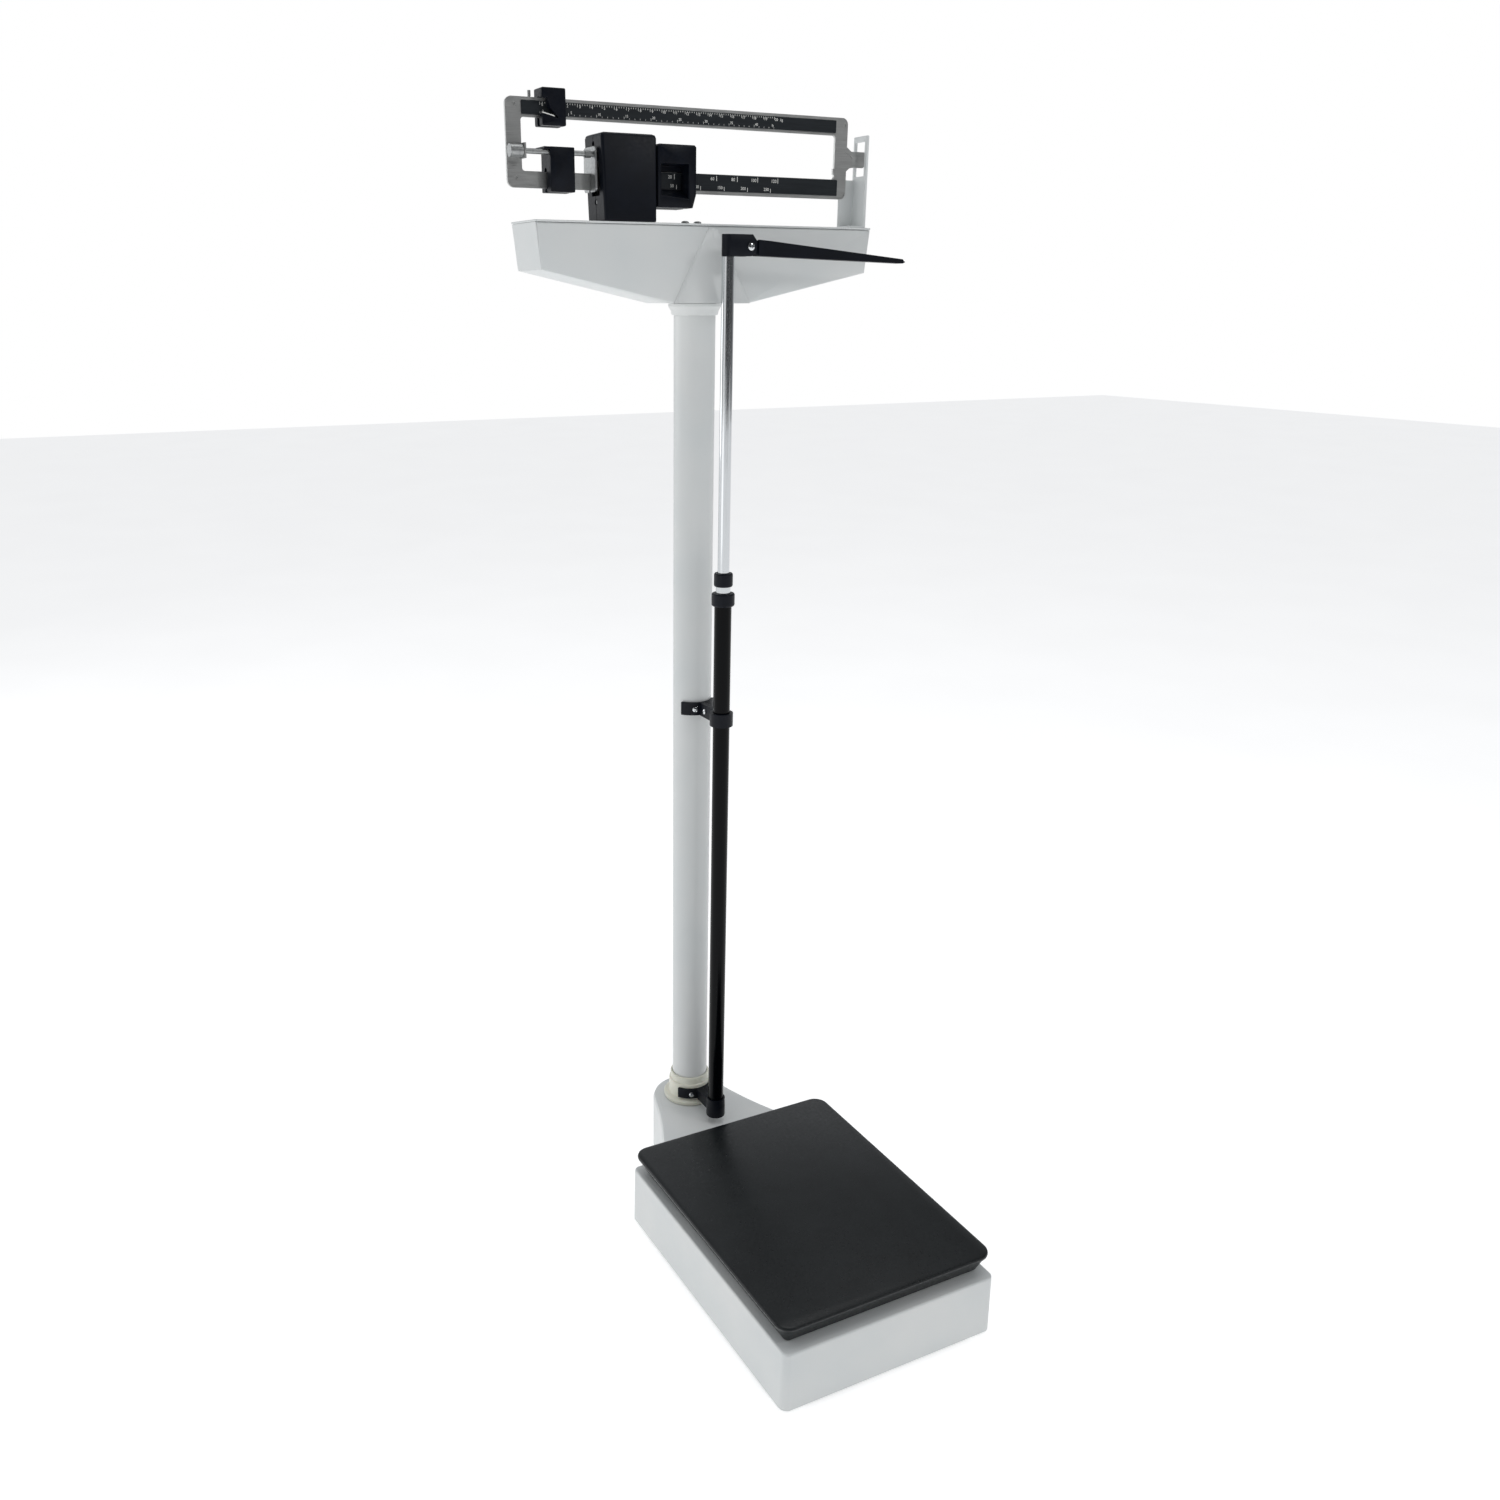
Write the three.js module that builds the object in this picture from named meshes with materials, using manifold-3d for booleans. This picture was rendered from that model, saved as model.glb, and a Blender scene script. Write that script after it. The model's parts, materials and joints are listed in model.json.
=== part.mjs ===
// Physician beam scale: a white base with a black platform, a round column, a sheet metal head that
// carries a steel double beam with sliding weights, and a telescopic height rod in front of the column.
// Millimetres, +Z up. +X runs along the beam, -Y points to the person on the platform.
// The origin is on the floor, under the middle of the whole scale's outline.

import * as THREE from "three";
import { mergeVertices } from "three/addons/utils/BufferGeometryUtils.js";
import Module from "manifold-3d";

const wasm = await Module();
wasm.setup();

// ---------------------------------------------------------------- driving dimensions
const GAP = 0.3; // between pieces that rest on each other
const COLUMN_Y = 216.3; // the column's axis, behind the origin

// base, measured from the column's axis
const BASE_WIDTH = 281;
const BASE_FRONT = -482.6;
const BASE_REAR = -107.6;
const BASE_FLOOR = 4.3;
const BASE_TOP = 79;
const WALL = 3;
const TONGUE_RADIUS = 50;
const TONGUE_TOP = 88;
const FOOT_RADIUS = 11;
const FOOT_INSET = 16;

// platform
const PLATFORM_TOP = 107.5;
const PLATFORM_HALF_X = 136.7;
const PLATFORM_FRONT = -472.3;
const PLATFORM_REAR = -116;
const PLATFORM_CORNER = 14;
const PLATFORM_RIM = 3.4;
const PLATE = 2; // sheet thickness

// lever system under the platform
const LEVER_OFFSET = 30; // fulcrum to load knife
const FRONT_FULCRUM_Y = -455;
const REAR_FULCRUM_Y = -135;
const LINK_Y = -295;
const LONG_LEVER_Z = 60;
const SHORT_LEVER_Z = 36;
const LEVER_HEIGHT = 10;
const LONG_LEVER_X = 95;
const SHORT_LEVER_X = 70;
const DRAFT_Y = -14;

// column
const COLUMN_RADIUS = 23.4;
const COLUMN_BORE = 21.4;
const COLUMN_TOP = 1126;
const FLANGE_RADIUS = 35;
const COLLAR_RADIUS = 28;
const COLLAR_LIP_RADIUS = 26.2;

// head housing
const HOUSING_HALF_TOP = 203;
const HOUSING_HALF_END = 198;
const HOUSING_HALF_NOSE = 46;
const HOUSING_FRONT = -40;
const HOUSING_REAR = 28;
const HOUSING_TOP = 1187;
const HOUSING_END_BOTTOM = 1142;
const HOUSING_BOTTOM = 1110;
const NOSE_DEPTH = 20;
const SHEET = 2;
const LID_TOP = HOUSING_TOP + GAP + SHEET;

// beam
const BEAM_Y = -18.5;
const BEAM_THICK = 3;
const BEAM_LEFT = -223.4;
const BEAM_RIGHT = 180.3;
const BEAM_BOTTOM = 1219;
const BEAM_TOP = 1301;
const UPPER_BAR = 18;
const LOWER_BAR = 20;
const END_BAR = 16;
const FULCRUM_X = -94;
const LOAD_KNIFE_X = FULCRUM_X - 25;
const KNIFE_Z = 1229;
const TIP_END = 207.5;
const TIP_LOW = 1252;
const TIP_HIGH = 1268;
const LABEL_THICK = 0.8;
const BEAM_LOW_EDGE = 1234.5; // top of the lower bar left of the cover
const SCREW_Z = 1252; // the zero adjuster's axis
const ADJUSTER_Y = -27;
const ADJUSTER_RADIUS = 2.6;
const KNOB_RADIUS = 6;
const BRACKET_X = -132;

// pivot cover over the fulcrum
const COVER_LEFT = -128.8;
const COVER_RIGHT = -66.2;
const COVER_FRONT = -40;
const COVER_REAR = 4;
const COVER_TOP = 1272;
const COVER_WALL = 2.5;
const COVER_SCREW_HIGH = 1262;
const COVER_SCREW_LOW = 1208;

// height rod
const ROD_Y = -74.7;
const OUTER_TUBE_RADIUS = 10;
const MIDDLE_TUBE_RADIUS = 8.4;
const INNER_ROD_RADIUS = 6.75;
const CUP_BOTTOM = 98.6;
const OUTER_TUBE_TOP = 797.5;
const CLIP_BOTTOM = 1156.5;
const CLIP_TOP = 1178;
const CLIP_HALF = 7;
const HINGE_X = 23.4;
const HINGE_Z = 1166;
const ARM_TIP = 223.4;

// ---------------------------------------------------------------- materials
const finish = (color, roughness, metalness) =>
  new THREE.MeshStandardMaterial({ color, roughness, metalness });
const whitePaint = finish(0xd3d6d6, 0.45, 0);
const blackWeight = finish(0x161b26, 0.4, 0);
const creamPlastic = finish(0xdcdccf, 0.5, 0);
const blackPlastic = finish(0x151a24, 0.45, 0);
const blackEnamel = finish(0x1c2022, 0.25, 0);
const blackTube = finish(0x0b0c10, 0.3, 0);
const rubber = finish(0x101010, 0.9, 0);
const stainless = finish(0x8c8d8e, 0.4, 1);
const chrome = finish(0xc8cacc, 0.12, 1);
const steel = finish(0x77797b, 0.5, 1);
const castIron = finish(0x4a4d50, 0.7, 0.6);
const labelBlack = finish(0x1b1e24, 0.4, 0);
const markWhite = finish(0xe8e8e8, 0.5, 0);

// ---------------------------------------------------------------- shape helpers
/** Signed volume of an indexed triangle mesh: negative when its faces point inwards. */
function signedVolume(position, index) {
  const [a, b, c] = [new THREE.Vector3(), new THREE.Vector3(), new THREE.Vector3()];
  let sum = 0;
  for (let i = 0; i < index.length; i += 3) {
    a.fromArray(position, index[i] * 3);
    b.fromArray(position, index[i + 1] * 3);
    c.fromArray(position, index[i + 2] * 3);
    sum += a.dot(b.cross(c)) / 6;
  }
  return sum;
}

/** Turns a closed three.js geometry into a solid that can be joined and cut. */
function solid(geometry) {
  geometry.deleteAttribute("normal");
  geometry.deleteAttribute("uv");
  const merged = mergeVertices(geometry, 1e-4);
  const vertProperties = new Float32Array(merged.attributes.position.array);
  const kept = [];
  const index = merged.index.array;
  for (let i = 0; i < index.length; i += 3) {
    const [a, b, c] = [index[i], index[i + 1], index[i + 2]];
    if (a !== b && b !== c && c !== a) kept.push(a, b, c);
  }
  if (signedVolume(vertProperties, kept) < 0) kept.reverse();
  const triVerts = new Uint32Array(kept);
  return new wasm.Manifold(new wasm.Mesh({ numProp: 3, vertProperties, triVerts }));
}

const join = (first, ...rest) => rest.reduce((sum, next) => sum.add(next), first);
const cut = (first, ...rest) => rest.reduce((sum, next) => sum.subtract(next), first);

function box(x0, x1, y0, y1, z0, z1) {
  const geometry = new THREE.BoxGeometry(x1 - x0, y1 - y0, z1 - z0);
  return solid(geometry.translate((x0 + x1) / 2, (y0 + y1) / 2, (z0 + z1) / 2));
}

/** A solid of revolution about a vertical axis from [radius, height] points. */
function turned(points, x = 0, y = 0, segments = 36) {
  const profile = points.map(([r, z]) => new THREE.Vector2(r, z));
  const geometry = new THREE.LatheGeometry(profile, segments);
  return solid(geometry.rotateX(Math.PI / 2).translate(x, y, 0));
}

/** A pipe about a vertical axis. */
function pipe(outer, inner, z0, z1, x = 0, y = 0) {
  return turned([[inner, z0], [outer, z0], [outer, z1], [inner, z1], [inner, z0]], x, y);
}

/** A round bar about a vertical axis. */
function bar(radius, z0, z1, x = 0, y = 0, segments = 24) {
  return turned([[0, z0], [radius, z0], [radius, z1], [0, z1]], x, y, segments);
}

/** A round bar along X or Y through a point. */
function crossBar(axis, radius, from, to, u, v, segments = 24) {
  const geometry = new THREE.CylinderGeometry(radius, radius, to - from, segments);
  const middle = (from + to) / 2;
  if (axis === "x") return solid(geometry.rotateZ(Math.PI / 2).translate(middle, u, v));
  return solid(geometry.translate(u, middle, v));
}

function outline(points) {
  return new THREE.Shape(points.map(([u, v]) => new THREE.Vector2(u, v)));
}

function roundedRect(u0, u1, v0, v1, radius) {
  const shape = new THREE.Shape();
  shape.absarc(u1 - radius, v0 + radius, radius, -Math.PI / 2, 0);
  shape.absarc(u1 - radius, v1 - radius, radius, 0, Math.PI / 2);
  shape.absarc(u0 + radius, v1 - radius, radius, Math.PI / 2, Math.PI);
  shape.absarc(u0 + radius, v0 + radius, radius, Math.PI, Math.PI * 1.5);
  shape.closePath();
  return shape;
}

/** Extrudes a shape, with an optional rounded edge at both ends that stays inside its outline. */
function extruded(shape, depth, edge = 0, curveSegments = 6) {
  const bevel = edge > 0;
  const options = { depth: depth - 2 * edge, curveSegments, bevelEnabled: bevel };
  if (bevel) {
    Object.assign(options, { bevelThickness: edge, bevelSize: edge, bevelOffset: -edge });
    options.bevelSegments = 2;
  }
  return new THREE.ExtrudeGeometry(shape, options).translate(0, 0, edge);
}

/** A shape drawn in plan, standing from z0 to z1. */
function standing(shape, z0, z1, edge = 0, curveSegments = 6) {
  return solid(extruded(shape, z1 - z0, edge, curveSegments).translate(0, 0, z0));
}

/** A shape drawn as seen from the front, as (x, z), running from y0 to y1. */
function facing(shape, y0, y1, edge = 0, curveSegments = 6) {
  const geometry = extruded(shape, y1 - y0, edge, curveSegments);
  return solid(geometry.rotateX(Math.PI / 2).translate(0, y1, 0));
}

/** A shape drawn as seen from the side, as (y, z), running from x0 to x1. */
function sideways(shape, x0, x1, edge = 0, curveSegments = 6) {
  const turn = new THREE.Matrix4().makeBasis(
    new THREE.Vector3(0, 1, 0),
    new THREE.Vector3(0, 0, 1),
    new THREE.Vector3(1, 0, 0),
  );
  const geometry = extruded(shape, x1 - x0, edge, curveSegments).applyMatrix4(turn);
  return solid(geometry.translate(x0, 0, 0));
}

/** Joins closed rings of equal length, lowest first, into one closed skin with flat ends. */
function loft(rings) {
  const count = rings[0].length;
  const points = rings.flat();
  const index = [];
  for (let ring = 0; ring + 1 < rings.length; ring++) {
    for (let i = 0; i < count; i++) {
      const [a, b] = [ring * count + i, ring * count + ((i + 1) % count)];
      index.push(a, b, b + count, a, b + count, a + count);
    }
  }
  for (const [start, flip] of [[0, true], [(rings.length - 1) * count, false]]) {
    for (let i = 1; i + 1 < count; i++) {
      const face = [start, start + i, start + i + 1];
      index.push(...(flip ? face.reverse() : face));
    }
  }
  const geometry = new THREE.BufferGeometry();
  geometry.setAttribute("position", new THREE.Float32BufferAttribute(points.flatMap((p) => p.toArray()), 3));
  geometry.setIndex(index);
  return solid(geometry);
}

/** The rounded rectangle x0..x1, y0..y1 at a height, drawn in by an inset, as a ring for loft. */
function rectRing(x0, x1, y0, y1, radius, inset, z) {
  const shape = roundedRect(x0 + inset, x1 - inset, y0 + inset, y1 - inset, Math.max(radius - inset, 0.5));
  return shape.getPoints(6).slice(0, -1).map((p) => new THREE.Vector3(p.x, p.y, z));
}

const floorCutter = (z) => box(-400, 400, -600, 200, -200, z);

// ---------------------------------------------------------------- assembly
const scale = new THREE.Group();
const tower = new THREE.Group();
tower.position.set(0, COLUMN_Y, 0);
scale.add(tower);

function place(name, body, material) {
  const { numProp, vertProperties, triVerts } = body.getMesh();
  const geometry = new THREE.BufferGeometry();
  geometry.setAttribute("position", new THREE.BufferAttribute(vertProperties, numProp));
  geometry.setIndex(new THREE.BufferAttribute(triVerts, 1));
  geometry.computeVertexNormals();
  const mesh = new THREE.Mesh(geometry, material);
  mesh.name = name;
  tower.add(mesh);
}

// ---------------------------------------------------------------- base
/** The plan of the tongue: half a circle about the column that flares into the base. */
function tongueShape(inset) {
  const radius = TONGUE_RADIUS - inset;
  const start = THREE.MathUtils.degToRad(15);
  const x = radius * Math.cos(start);
  const y = radius * Math.sin(start);
  const reach = 85;
  const end = [103 - inset, BASE_REAR - 10];
  const control = [x + reach * Math.sin(start), y - reach * Math.cos(start)];
  const shape = new THREE.Shape();
  shape.moveTo(-end[0], end[1]);
  shape.lineTo(end[0], end[1]);
  shape.quadraticCurveTo(control[0], control[1], x, y);
  shape.absarc(0, 0, radius, start, Math.PI - start);
  shape.quadraticCurveTo(-control[0], control[1], -end[0], end[1]);
  return shape;
}

/** The base box drawn in by an inset, from z0 to z1, with its upper edge rounded. */
function baseBlock(inset, z0, z1, edge) {
  const half = BASE_WIDTH / 2;
  const ring = (extra, z) => rectRing(-half, half, BASE_FRONT, BASE_REAR, 10, inset + extra, z);
  const lean = 1.4; // each wall leans in towards the top
  const rounded = [0, 30, 60, 90].map((deg) => {
    const t = THREE.MathUtils.degToRad(deg);
    return ring(lean + edge * (1 - Math.cos(t)), z1 - edge * (1 - Math.sin(t)));
  });
  return loft([ring(0, z0), ...rounded]);
}

function buildBase() {
  const tongue = standing(tongueShape(0), -20, TONGUE_TOP, 6, 12);
  const outer = cut(join(baseBlock(0, BASE_FLOOR, BASE_TOP, 2.5), tongue), floorCutter(BASE_FLOOR));
  const cavity = join(
    baseBlock(WALL, 0, BASE_TOP - WALL, 0.5),
    standing(tongueShape(WALL), -10, TONGUE_TOP - WALL, 0, 12),
  );
  const rearWall = box(-140, 140, BASE_REAR - 12, BASE_REAR - 8, BASE_TOP - WALL - 1, TONGUE_TOP - 1);
  const deckOpening = standing(roundedRect(-114, 114, -458, -132, 8), BASE_TOP - 8, BASE_TOP + 8);
  const rodHole = bar(18, TONGUE_TOP - 10, TONGUE_TOP + 5);
  let shell = cut(outer, cavity, deckOpening, rodHole);
  shell = join(shell, rearWall.intersect(outer));
  for (const [x, y] of footPlaces()) {
    const pad = box(x - 13.5, x + 13.5, y - 13.5, y + 13.5, BASE_FLOOR, BASE_FLOOR + 4.5);
    shell = join(shell, pad.intersect(outer));
  }
  place("base_shell", shell, whitePaint);
}

function footPlaces() {
  const x = BASE_WIDTH / 2 - FOOT_INSET;
  const [front, rear] = [BASE_FRONT + FOOT_INSET, BASE_REAR - FOOT_INSET];
  return [[-x, front], [x, front], [-x, rear], [x, rear]];
}

function buildFeet() {
  const names = ["foot_front_left", "foot_front_right", "foot_rear_left", "foot_rear_right"];
  const top = BASE_FLOOR - GAP;
  footPlaces().forEach(([x, y], i) => {
    const profile = [[0, 0], [FOOT_RADIUS - 2, 0], [FOOT_RADIUS - 1, 0.6], [FOOT_RADIUS, top], [0, top]];
    place(names[i], turned(profile, x, y, 24), rubber);
  });
}

// ---------------------------------------------------------------- levers in the base
/** A flat bar in plan between two points, as wide as given. */
function planBar(from, to, width, z0, z1) {
  const along = new THREE.Vector2(to[0] - from[0], to[1] - from[1]).normalize();
  const [nx, ny] = [-along.y * width / 2, along.x * width / 2];
  const corners = [
    [from[0] + nx, from[1] + ny],
    [from[0] - nx, from[1] - ny],
    [to[0] - nx, to[1] - ny],
    [to[0] + nx, to[1] + ny],
  ];
  return standing(outline(corners), z0, z1);
}

/** A lever of two arms that meet at a nose, with bosses at its fulcrum and load knives. */
function forkLever(halfX, fulcrumY, loadY, nose, z0) {
  const z1 = z0 + LEVER_HEIGHT;
  const pieces = [-1, 1].flatMap((side) => [
    planBar([side * halfX, fulcrumY], [side * 4, nose], 10, z0, z1),
    box(side * halfX - 9, side * halfX + 9, fulcrumY - 5, fulcrumY + 5, z0, z1),
    box(side * halfX - 9, side * halfX + 9, loadY - 5, loadY + 5, z0, z1),
  ]);
  return join(box(-6, 6, nose - 8, nose + 8, z0, z1), ...pieces);
}

function buildLevers() {
  const longZ = LONG_LEVER_Z;
  const tieHalf = LONG_LEVER_X * (DRAFT_Y - LINK_Y) / (DRAFT_Y - FRONT_FULCRUM_Y) + 2;
  const tie = box(-tieHalf, tieHalf, LINK_Y - 5, LINK_Y + 5, longZ, longZ + LEVER_HEIGHT);
  const longLever = forkLever(
    LONG_LEVER_X, FRONT_FULCRUM_Y, FRONT_FULCRUM_Y + LEVER_OFFSET, DRAFT_Y, longZ);
  place("long_lever", join(longLever, tie), castIron);
  const shortLever = forkLever(
    SHORT_LEVER_X, REAR_FULCRUM_Y, REAR_FULCRUM_Y - LEVER_OFFSET, LINK_Y, SHORT_LEVER_Z);
  place("short_lever", shortLever, castIron);

  // a closed loop round both levers at the place where the short one pulls on the long one
  const loopLow = SHORT_LEVER_Z - 5;
  const loopHigh = longZ + LEVER_HEIGHT + 5;
  const loop = cut(
    sideways(roundedRect(LINK_Y - 14, LINK_Y + 14, loopLow, loopHigh, 3), -2, 2),
    sideways(roundedRect(LINK_Y - 10.5, LINK_Y + 10.5, loopLow + 4.5, loopHigh - 4.5, 2), -3, 3),
  );
  place("lever_link", loop, steel);
}

/** A cross bar fixed between the side walls, with two posts that hold a lever's fulcrum knives. */
function fulcrumBar(y, halfX, postTop) {
  const inside = BASE_WIDTH / 2 - WALL - GAP - 0.5;
  const posts = [-1, 1].map((side) =>
    box(side * halfX - 7, side * halfX + 7, y - 5, y + 5, 14, postTop));
  return join(box(-inside, inside, y - 8, y + 8, 10, 15), ...posts);
}

function buildFulcrumBars() {
  place("front_fulcrum_bar", fulcrumBar(FRONT_FULCRUM_Y, LONG_LEVER_X, LONG_LEVER_Z - 0.5), steel);
  place("rear_fulcrum_bar", fulcrumBar(REAR_FULCRUM_Y, SHORT_LEVER_X, SHORT_LEVER_Z - 0.5), steel);
}

// ---------------------------------------------------------------- platform
function platformRing(inset, z) {
  const out = PLATFORM_RIM;
  return rectRing(
    -PLATFORM_HALF_X - out, PLATFORM_HALF_X + out,
    PLATFORM_FRONT - out, PLATFORM_REAR + out, PLATFORM_CORNER + out, inset, z);
}

function buildPlatform() {
  const top = PLATFORM_TOP;
  const bottom = BASE_TOP + 2;
  const skin = loft([
    platformRing(12, bottom), platformRing(4.5, top - 11), platformRing(0.5, top - 5.5),
    platformRing(0, top - 3.2), platformRing(0.8, top - 1.2), platformRing(PLATFORM_RIM, top),
  ]);
  const hollow = loft([
    platformRing(14, bottom - 3), platformRing(14, bottom), platformRing(6.6, top - 11),
    platformRing(2.8, top - 5.2), platformRing(PLATFORM_RIM + 1, top - PLATE),
  ]);
  place("platform_cover", cut(skin, hollow), blackEnamel);

  const plateTop = top - PLATE - GAP;
  const under = plateTop - 6;
  const [frontY, rearY] = [FRONT_FULCRUM_Y + LEVER_OFFSET, REAR_FULCRUM_Y - LEVER_OFFSET];
  const half = 10; // half the width of a frame bar
  const crossBars = [frontY, rearY].map((y) => box(-124, 124, y - half, y + half, under, plateTop));
  const sideBars = [-60, 60].map((x) => box(x - half, x + half, frontY, rearY, under, plateTop));
  const knives = [[LONG_LEVER_X, frontY, LONG_LEVER_Z], [SHORT_LEVER_X, rearY, SHORT_LEVER_Z]];
  const legs = knives.flatMap(([x, y, z]) => [-1, 1].map((side) =>
    box(side * x - 6, side * x + 6, y - 6, y + 6, z + LEVER_HEIGHT + 0.5, plateTop - 1)));
  place("platform_frame", join(...crossBars, ...sideBars, ...legs), steel);
}

// ---------------------------------------------------------------- column
function buildColumn() {
  const foot = TONGUE_TOP + GAP;
  place("column_tube", pipe(COLUMN_RADIUS, COLUMN_BORE, foot, COLUMN_TOP), whitePaint);
  const bore = COLUMN_RADIUS + GAP;
  const collar = turned([
    [bore, foot], [FLANGE_RADIUS - 1, foot], [FLANGE_RADIUS, foot + 1], [FLANGE_RADIUS, 93],
    [FLANGE_RADIUS - 2, 94.5], [COLLAR_RADIUS + 1, 95.5], [COLLAR_RADIUS, 97], [COLLAR_RADIUS, 115.5],
    [COLLAR_RADIUS - 0.7, 116.5], [COLLAR_LIP_RADIUS, 117], [COLLAR_LIP_RADIUS, 125.5],
    [COLLAR_LIP_RADIUS - 0.8, 126.5], [bore, 126.5], [bore, foot],
  ], 0, 0, 40);
  place("column_collar", collar, creamPlastic);
  const under = HOUSING_BOTTOM - GAP;
  const ring = turned([
    [bore, 1097.5], [25.2, 1097.5], [26.2, 1099], [26.8, 1102.5], [29.4, 1106.5], [29.4, under],
    [bore, under], [bore, 1097.5],
  ], 0, 0, 40);
  place("column_ring", ring, whitePaint);
}

// ---------------------------------------------------------------- head housing
/** The housing's front view: a shallow boat shape. */
function housingShape(inset, top) {
  const slope = (HOUSING_END_BOTTOM - HOUSING_BOTTOM) / (HOUSING_HALF_END - HOUSING_HALF_NOSE);
  const rise = inset * Math.hypot(1, slope);
  return outline([
    [-HOUSING_HALF_TOP + inset, top], [-HOUSING_HALF_END + inset, HOUSING_END_BOTTOM + rise],
    [-HOUSING_HALF_NOSE, HOUSING_BOTTOM + inset], [HOUSING_HALF_NOSE, HOUSING_BOTTOM + inset],
    [HOUSING_HALF_END - inset, HOUSING_END_BOTTOM + rise], [HOUSING_HALF_TOP - inset, top],
  ]);
}

/** The bulge in the front: flat at the top edge, half an oval round the column at the bottom. */
function noseRing(share, z, inset) {
  const half = HOUSING_HALF_NOSE * (0.12 + 0.88 * share) - inset;
  const depth = Math.max(NOSE_DEPTH * share, 0.2);
  const points = [];
  for (let i = 0; i <= 16; i++) {
    const t = Math.PI * (i / 16);
    const y = HOUSING_FRONT + inset - depth * Math.sin(t);
    points.push(new THREE.Vector3(-half * Math.cos(t), y, z));
  }
  const rear = HOUSING_FRONT + 10;
  points.push(new THREE.Vector3(half, rear, z), new THREE.Vector3(-half, rear, z));
  return points;
}

function noseBody(inset) {
  const rings = [0, 0.25, 0.5, 0.75, 1].map((t) => {
    const bottom = HOUSING_BOTTOM + inset;
    return noseRing(1 - t, bottom + (HOUSING_TOP - 1 - bottom) * t, inset);
  });
  return loft(rings);
}

function buildHousing() {
  const outer = join(
    facing(housingShape(0, HOUSING_TOP), HOUSING_FRONT, HOUSING_REAR, 1.5),
    noseBody(0),
  );
  const inner = join(
    facing(housingShape(SHEET, HOUSING_TOP + 5), HOUSING_FRONT + SHEET, HOUSING_REAR - SHEET),
    noseBody(SHEET),
  );
  const columnHole = bar(COLUMN_RADIUS + GAP, HOUSING_BOTTOM - 10, HOUSING_BOTTOM + 10, 0, 0, 36);
  place("housing_shell", cut(outer, inner, columnHole), whitePaint);

  const lidShape = roundedRect(
    -HOUSING_HALF_TOP - 0.6, HOUSING_HALF_TOP + 0.6, HOUSING_FRONT - 0.6, HOUSING_REAR + 0.6, 2);
  const loadX = LOAD_KNIFE_X;
  const linkSlot = box(loadX - 5, loadX + 5, BEAM_Y - 14, BEAM_Y + 14, HOUSING_TOP - 5, LID_TOP + 5);
  place("housing_lid", cut(standing(lidShape, HOUSING_TOP + GAP, LID_TOP, 0.6), linkSlot), whitePaint);
  for (const [name, x] of [["lid_screw_left", -24], ["lid_screw_right", -9]]) {
    const head = LID_TOP + GAP;
    const dome = [[0, head], [4.2, head], [4.2, head + 1], [3, head + 2.4], [0, head + 2.9]];
    place(name, turned(dome, x, -22, 16), steel);
  }
}

/** The plate with a window that the beam's tip plays in. */
function buildTrigLoop() {
  const [foot, top] = [LID_TOP + GAP, 1284];
  const plate = sideways(roundedRect(-32, -6, foot, top, 1), 198.5, 201.5);
  const window = box(190, 210, -27.5, -9.5, 1243.2, 1278);
  const web = box(180, 200, -8, -6, foot, 1240);
  const shoe = box(180, 201.5, -32, -6, foot, foot + 2);
  place("trig_loop", join(cut(plate, window), web, shoe), whitePaint);
}

// ---------------------------------------------------------------- lever and rod in the head
const LEVER_FULCRUM_X = 95;
const HEAD_LEVER_LOW = 1166.5;
const HEAD_LEVER_HIGH = 1176;

/** A closed loop of flat steel round a bar that runs along X. */
function stirrup(x, half, y0, y1, z0, z1, strap) {
  return cut(
    sideways(roundedRect(y0, y1, z0, z1, 2), x - half, x + half),
    sideways(roundedRect(y0 + strap, y1 - strap, z0 + strap, z1 - strap, 1), x - half - 1, x + half + 1),
  );
}

/** The same loop round a bar that runs along Y. */
function crossStirrup(y, half, x0, x1, z0, z1, strap) {
  return cut(
    facing(roundedRect(x0, x1, z0, z1, 2), y - half, y + half),
    facing(roundedRect(x0 + strap, x1 - strap, z0 + strap, z1 - strap, 1), y - half - 1, y + half + 1),
  );
}

function buildHeadLever() {
  const loadX = LOAD_KNIFE_X;
  const lever = facing(roundedRect(loadX - 5, LEVER_FULCRUM_X + 8, HEAD_LEVER_LOW, HEAD_LEVER_HIGH, 3),
    BEAM_Y - 3, BEAM_Y + 3);
  place("head_lever", lever, castIron);
  const hanger = stirrup(LEVER_FULCRUM_X, 4, BEAM_Y - 11.5, BEAM_Y + 11.5,
    HEAD_LEVER_LOW - 4.5, HOUSING_TOP - GAP, 4);
  place("lever_hanger", hanger, steel);
  const link = stirrup(loadX, 2.5, BEAM_Y - 12.5, BEAM_Y + 12.5,
    HEAD_LEVER_LOW - 4, KNIFE_Z + 6.9, 3.5);
  place("beam_link", link, steel);
}

function buildDraftRod() {
  const nose = LONG_LEVER_Z;
  const lowLoop = crossStirrup(DRAFT_Y, 3, -15.5, 15.5, nose - 4.5, nose + LEVER_HEIGHT + 6, 4);
  const highLoop = stirrup(0, 3, BEAM_Y - 9, BEAM_Y + 9, 1152, HEAD_LEVER_HIGH + 4.5, 4);
  const shaft = bar(3, nose + LEVER_HEIGHT + 4, 1154, 0, DRAFT_Y, 16);
  place("draft_rod", join(shaft, lowLoop, highLoop), steel);
}

// ---------------------------------------------------------------- beam
function beamShape() {
  const shape = roundedRect(BEAM_LEFT, BEAM_RIGHT, BEAM_BOTTOM, BEAM_TOP, 7);
  const opening = roundedRect(BEAM_LEFT + END_BAR, BEAM_RIGHT - END_BAR,
    BEAM_BOTTOM + LOWER_BAR, BEAM_TOP - UPPER_BAR, 3);
  shape.holes.push(new THREE.Path(opening.getPoints(6)));
  return shape;
}

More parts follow.
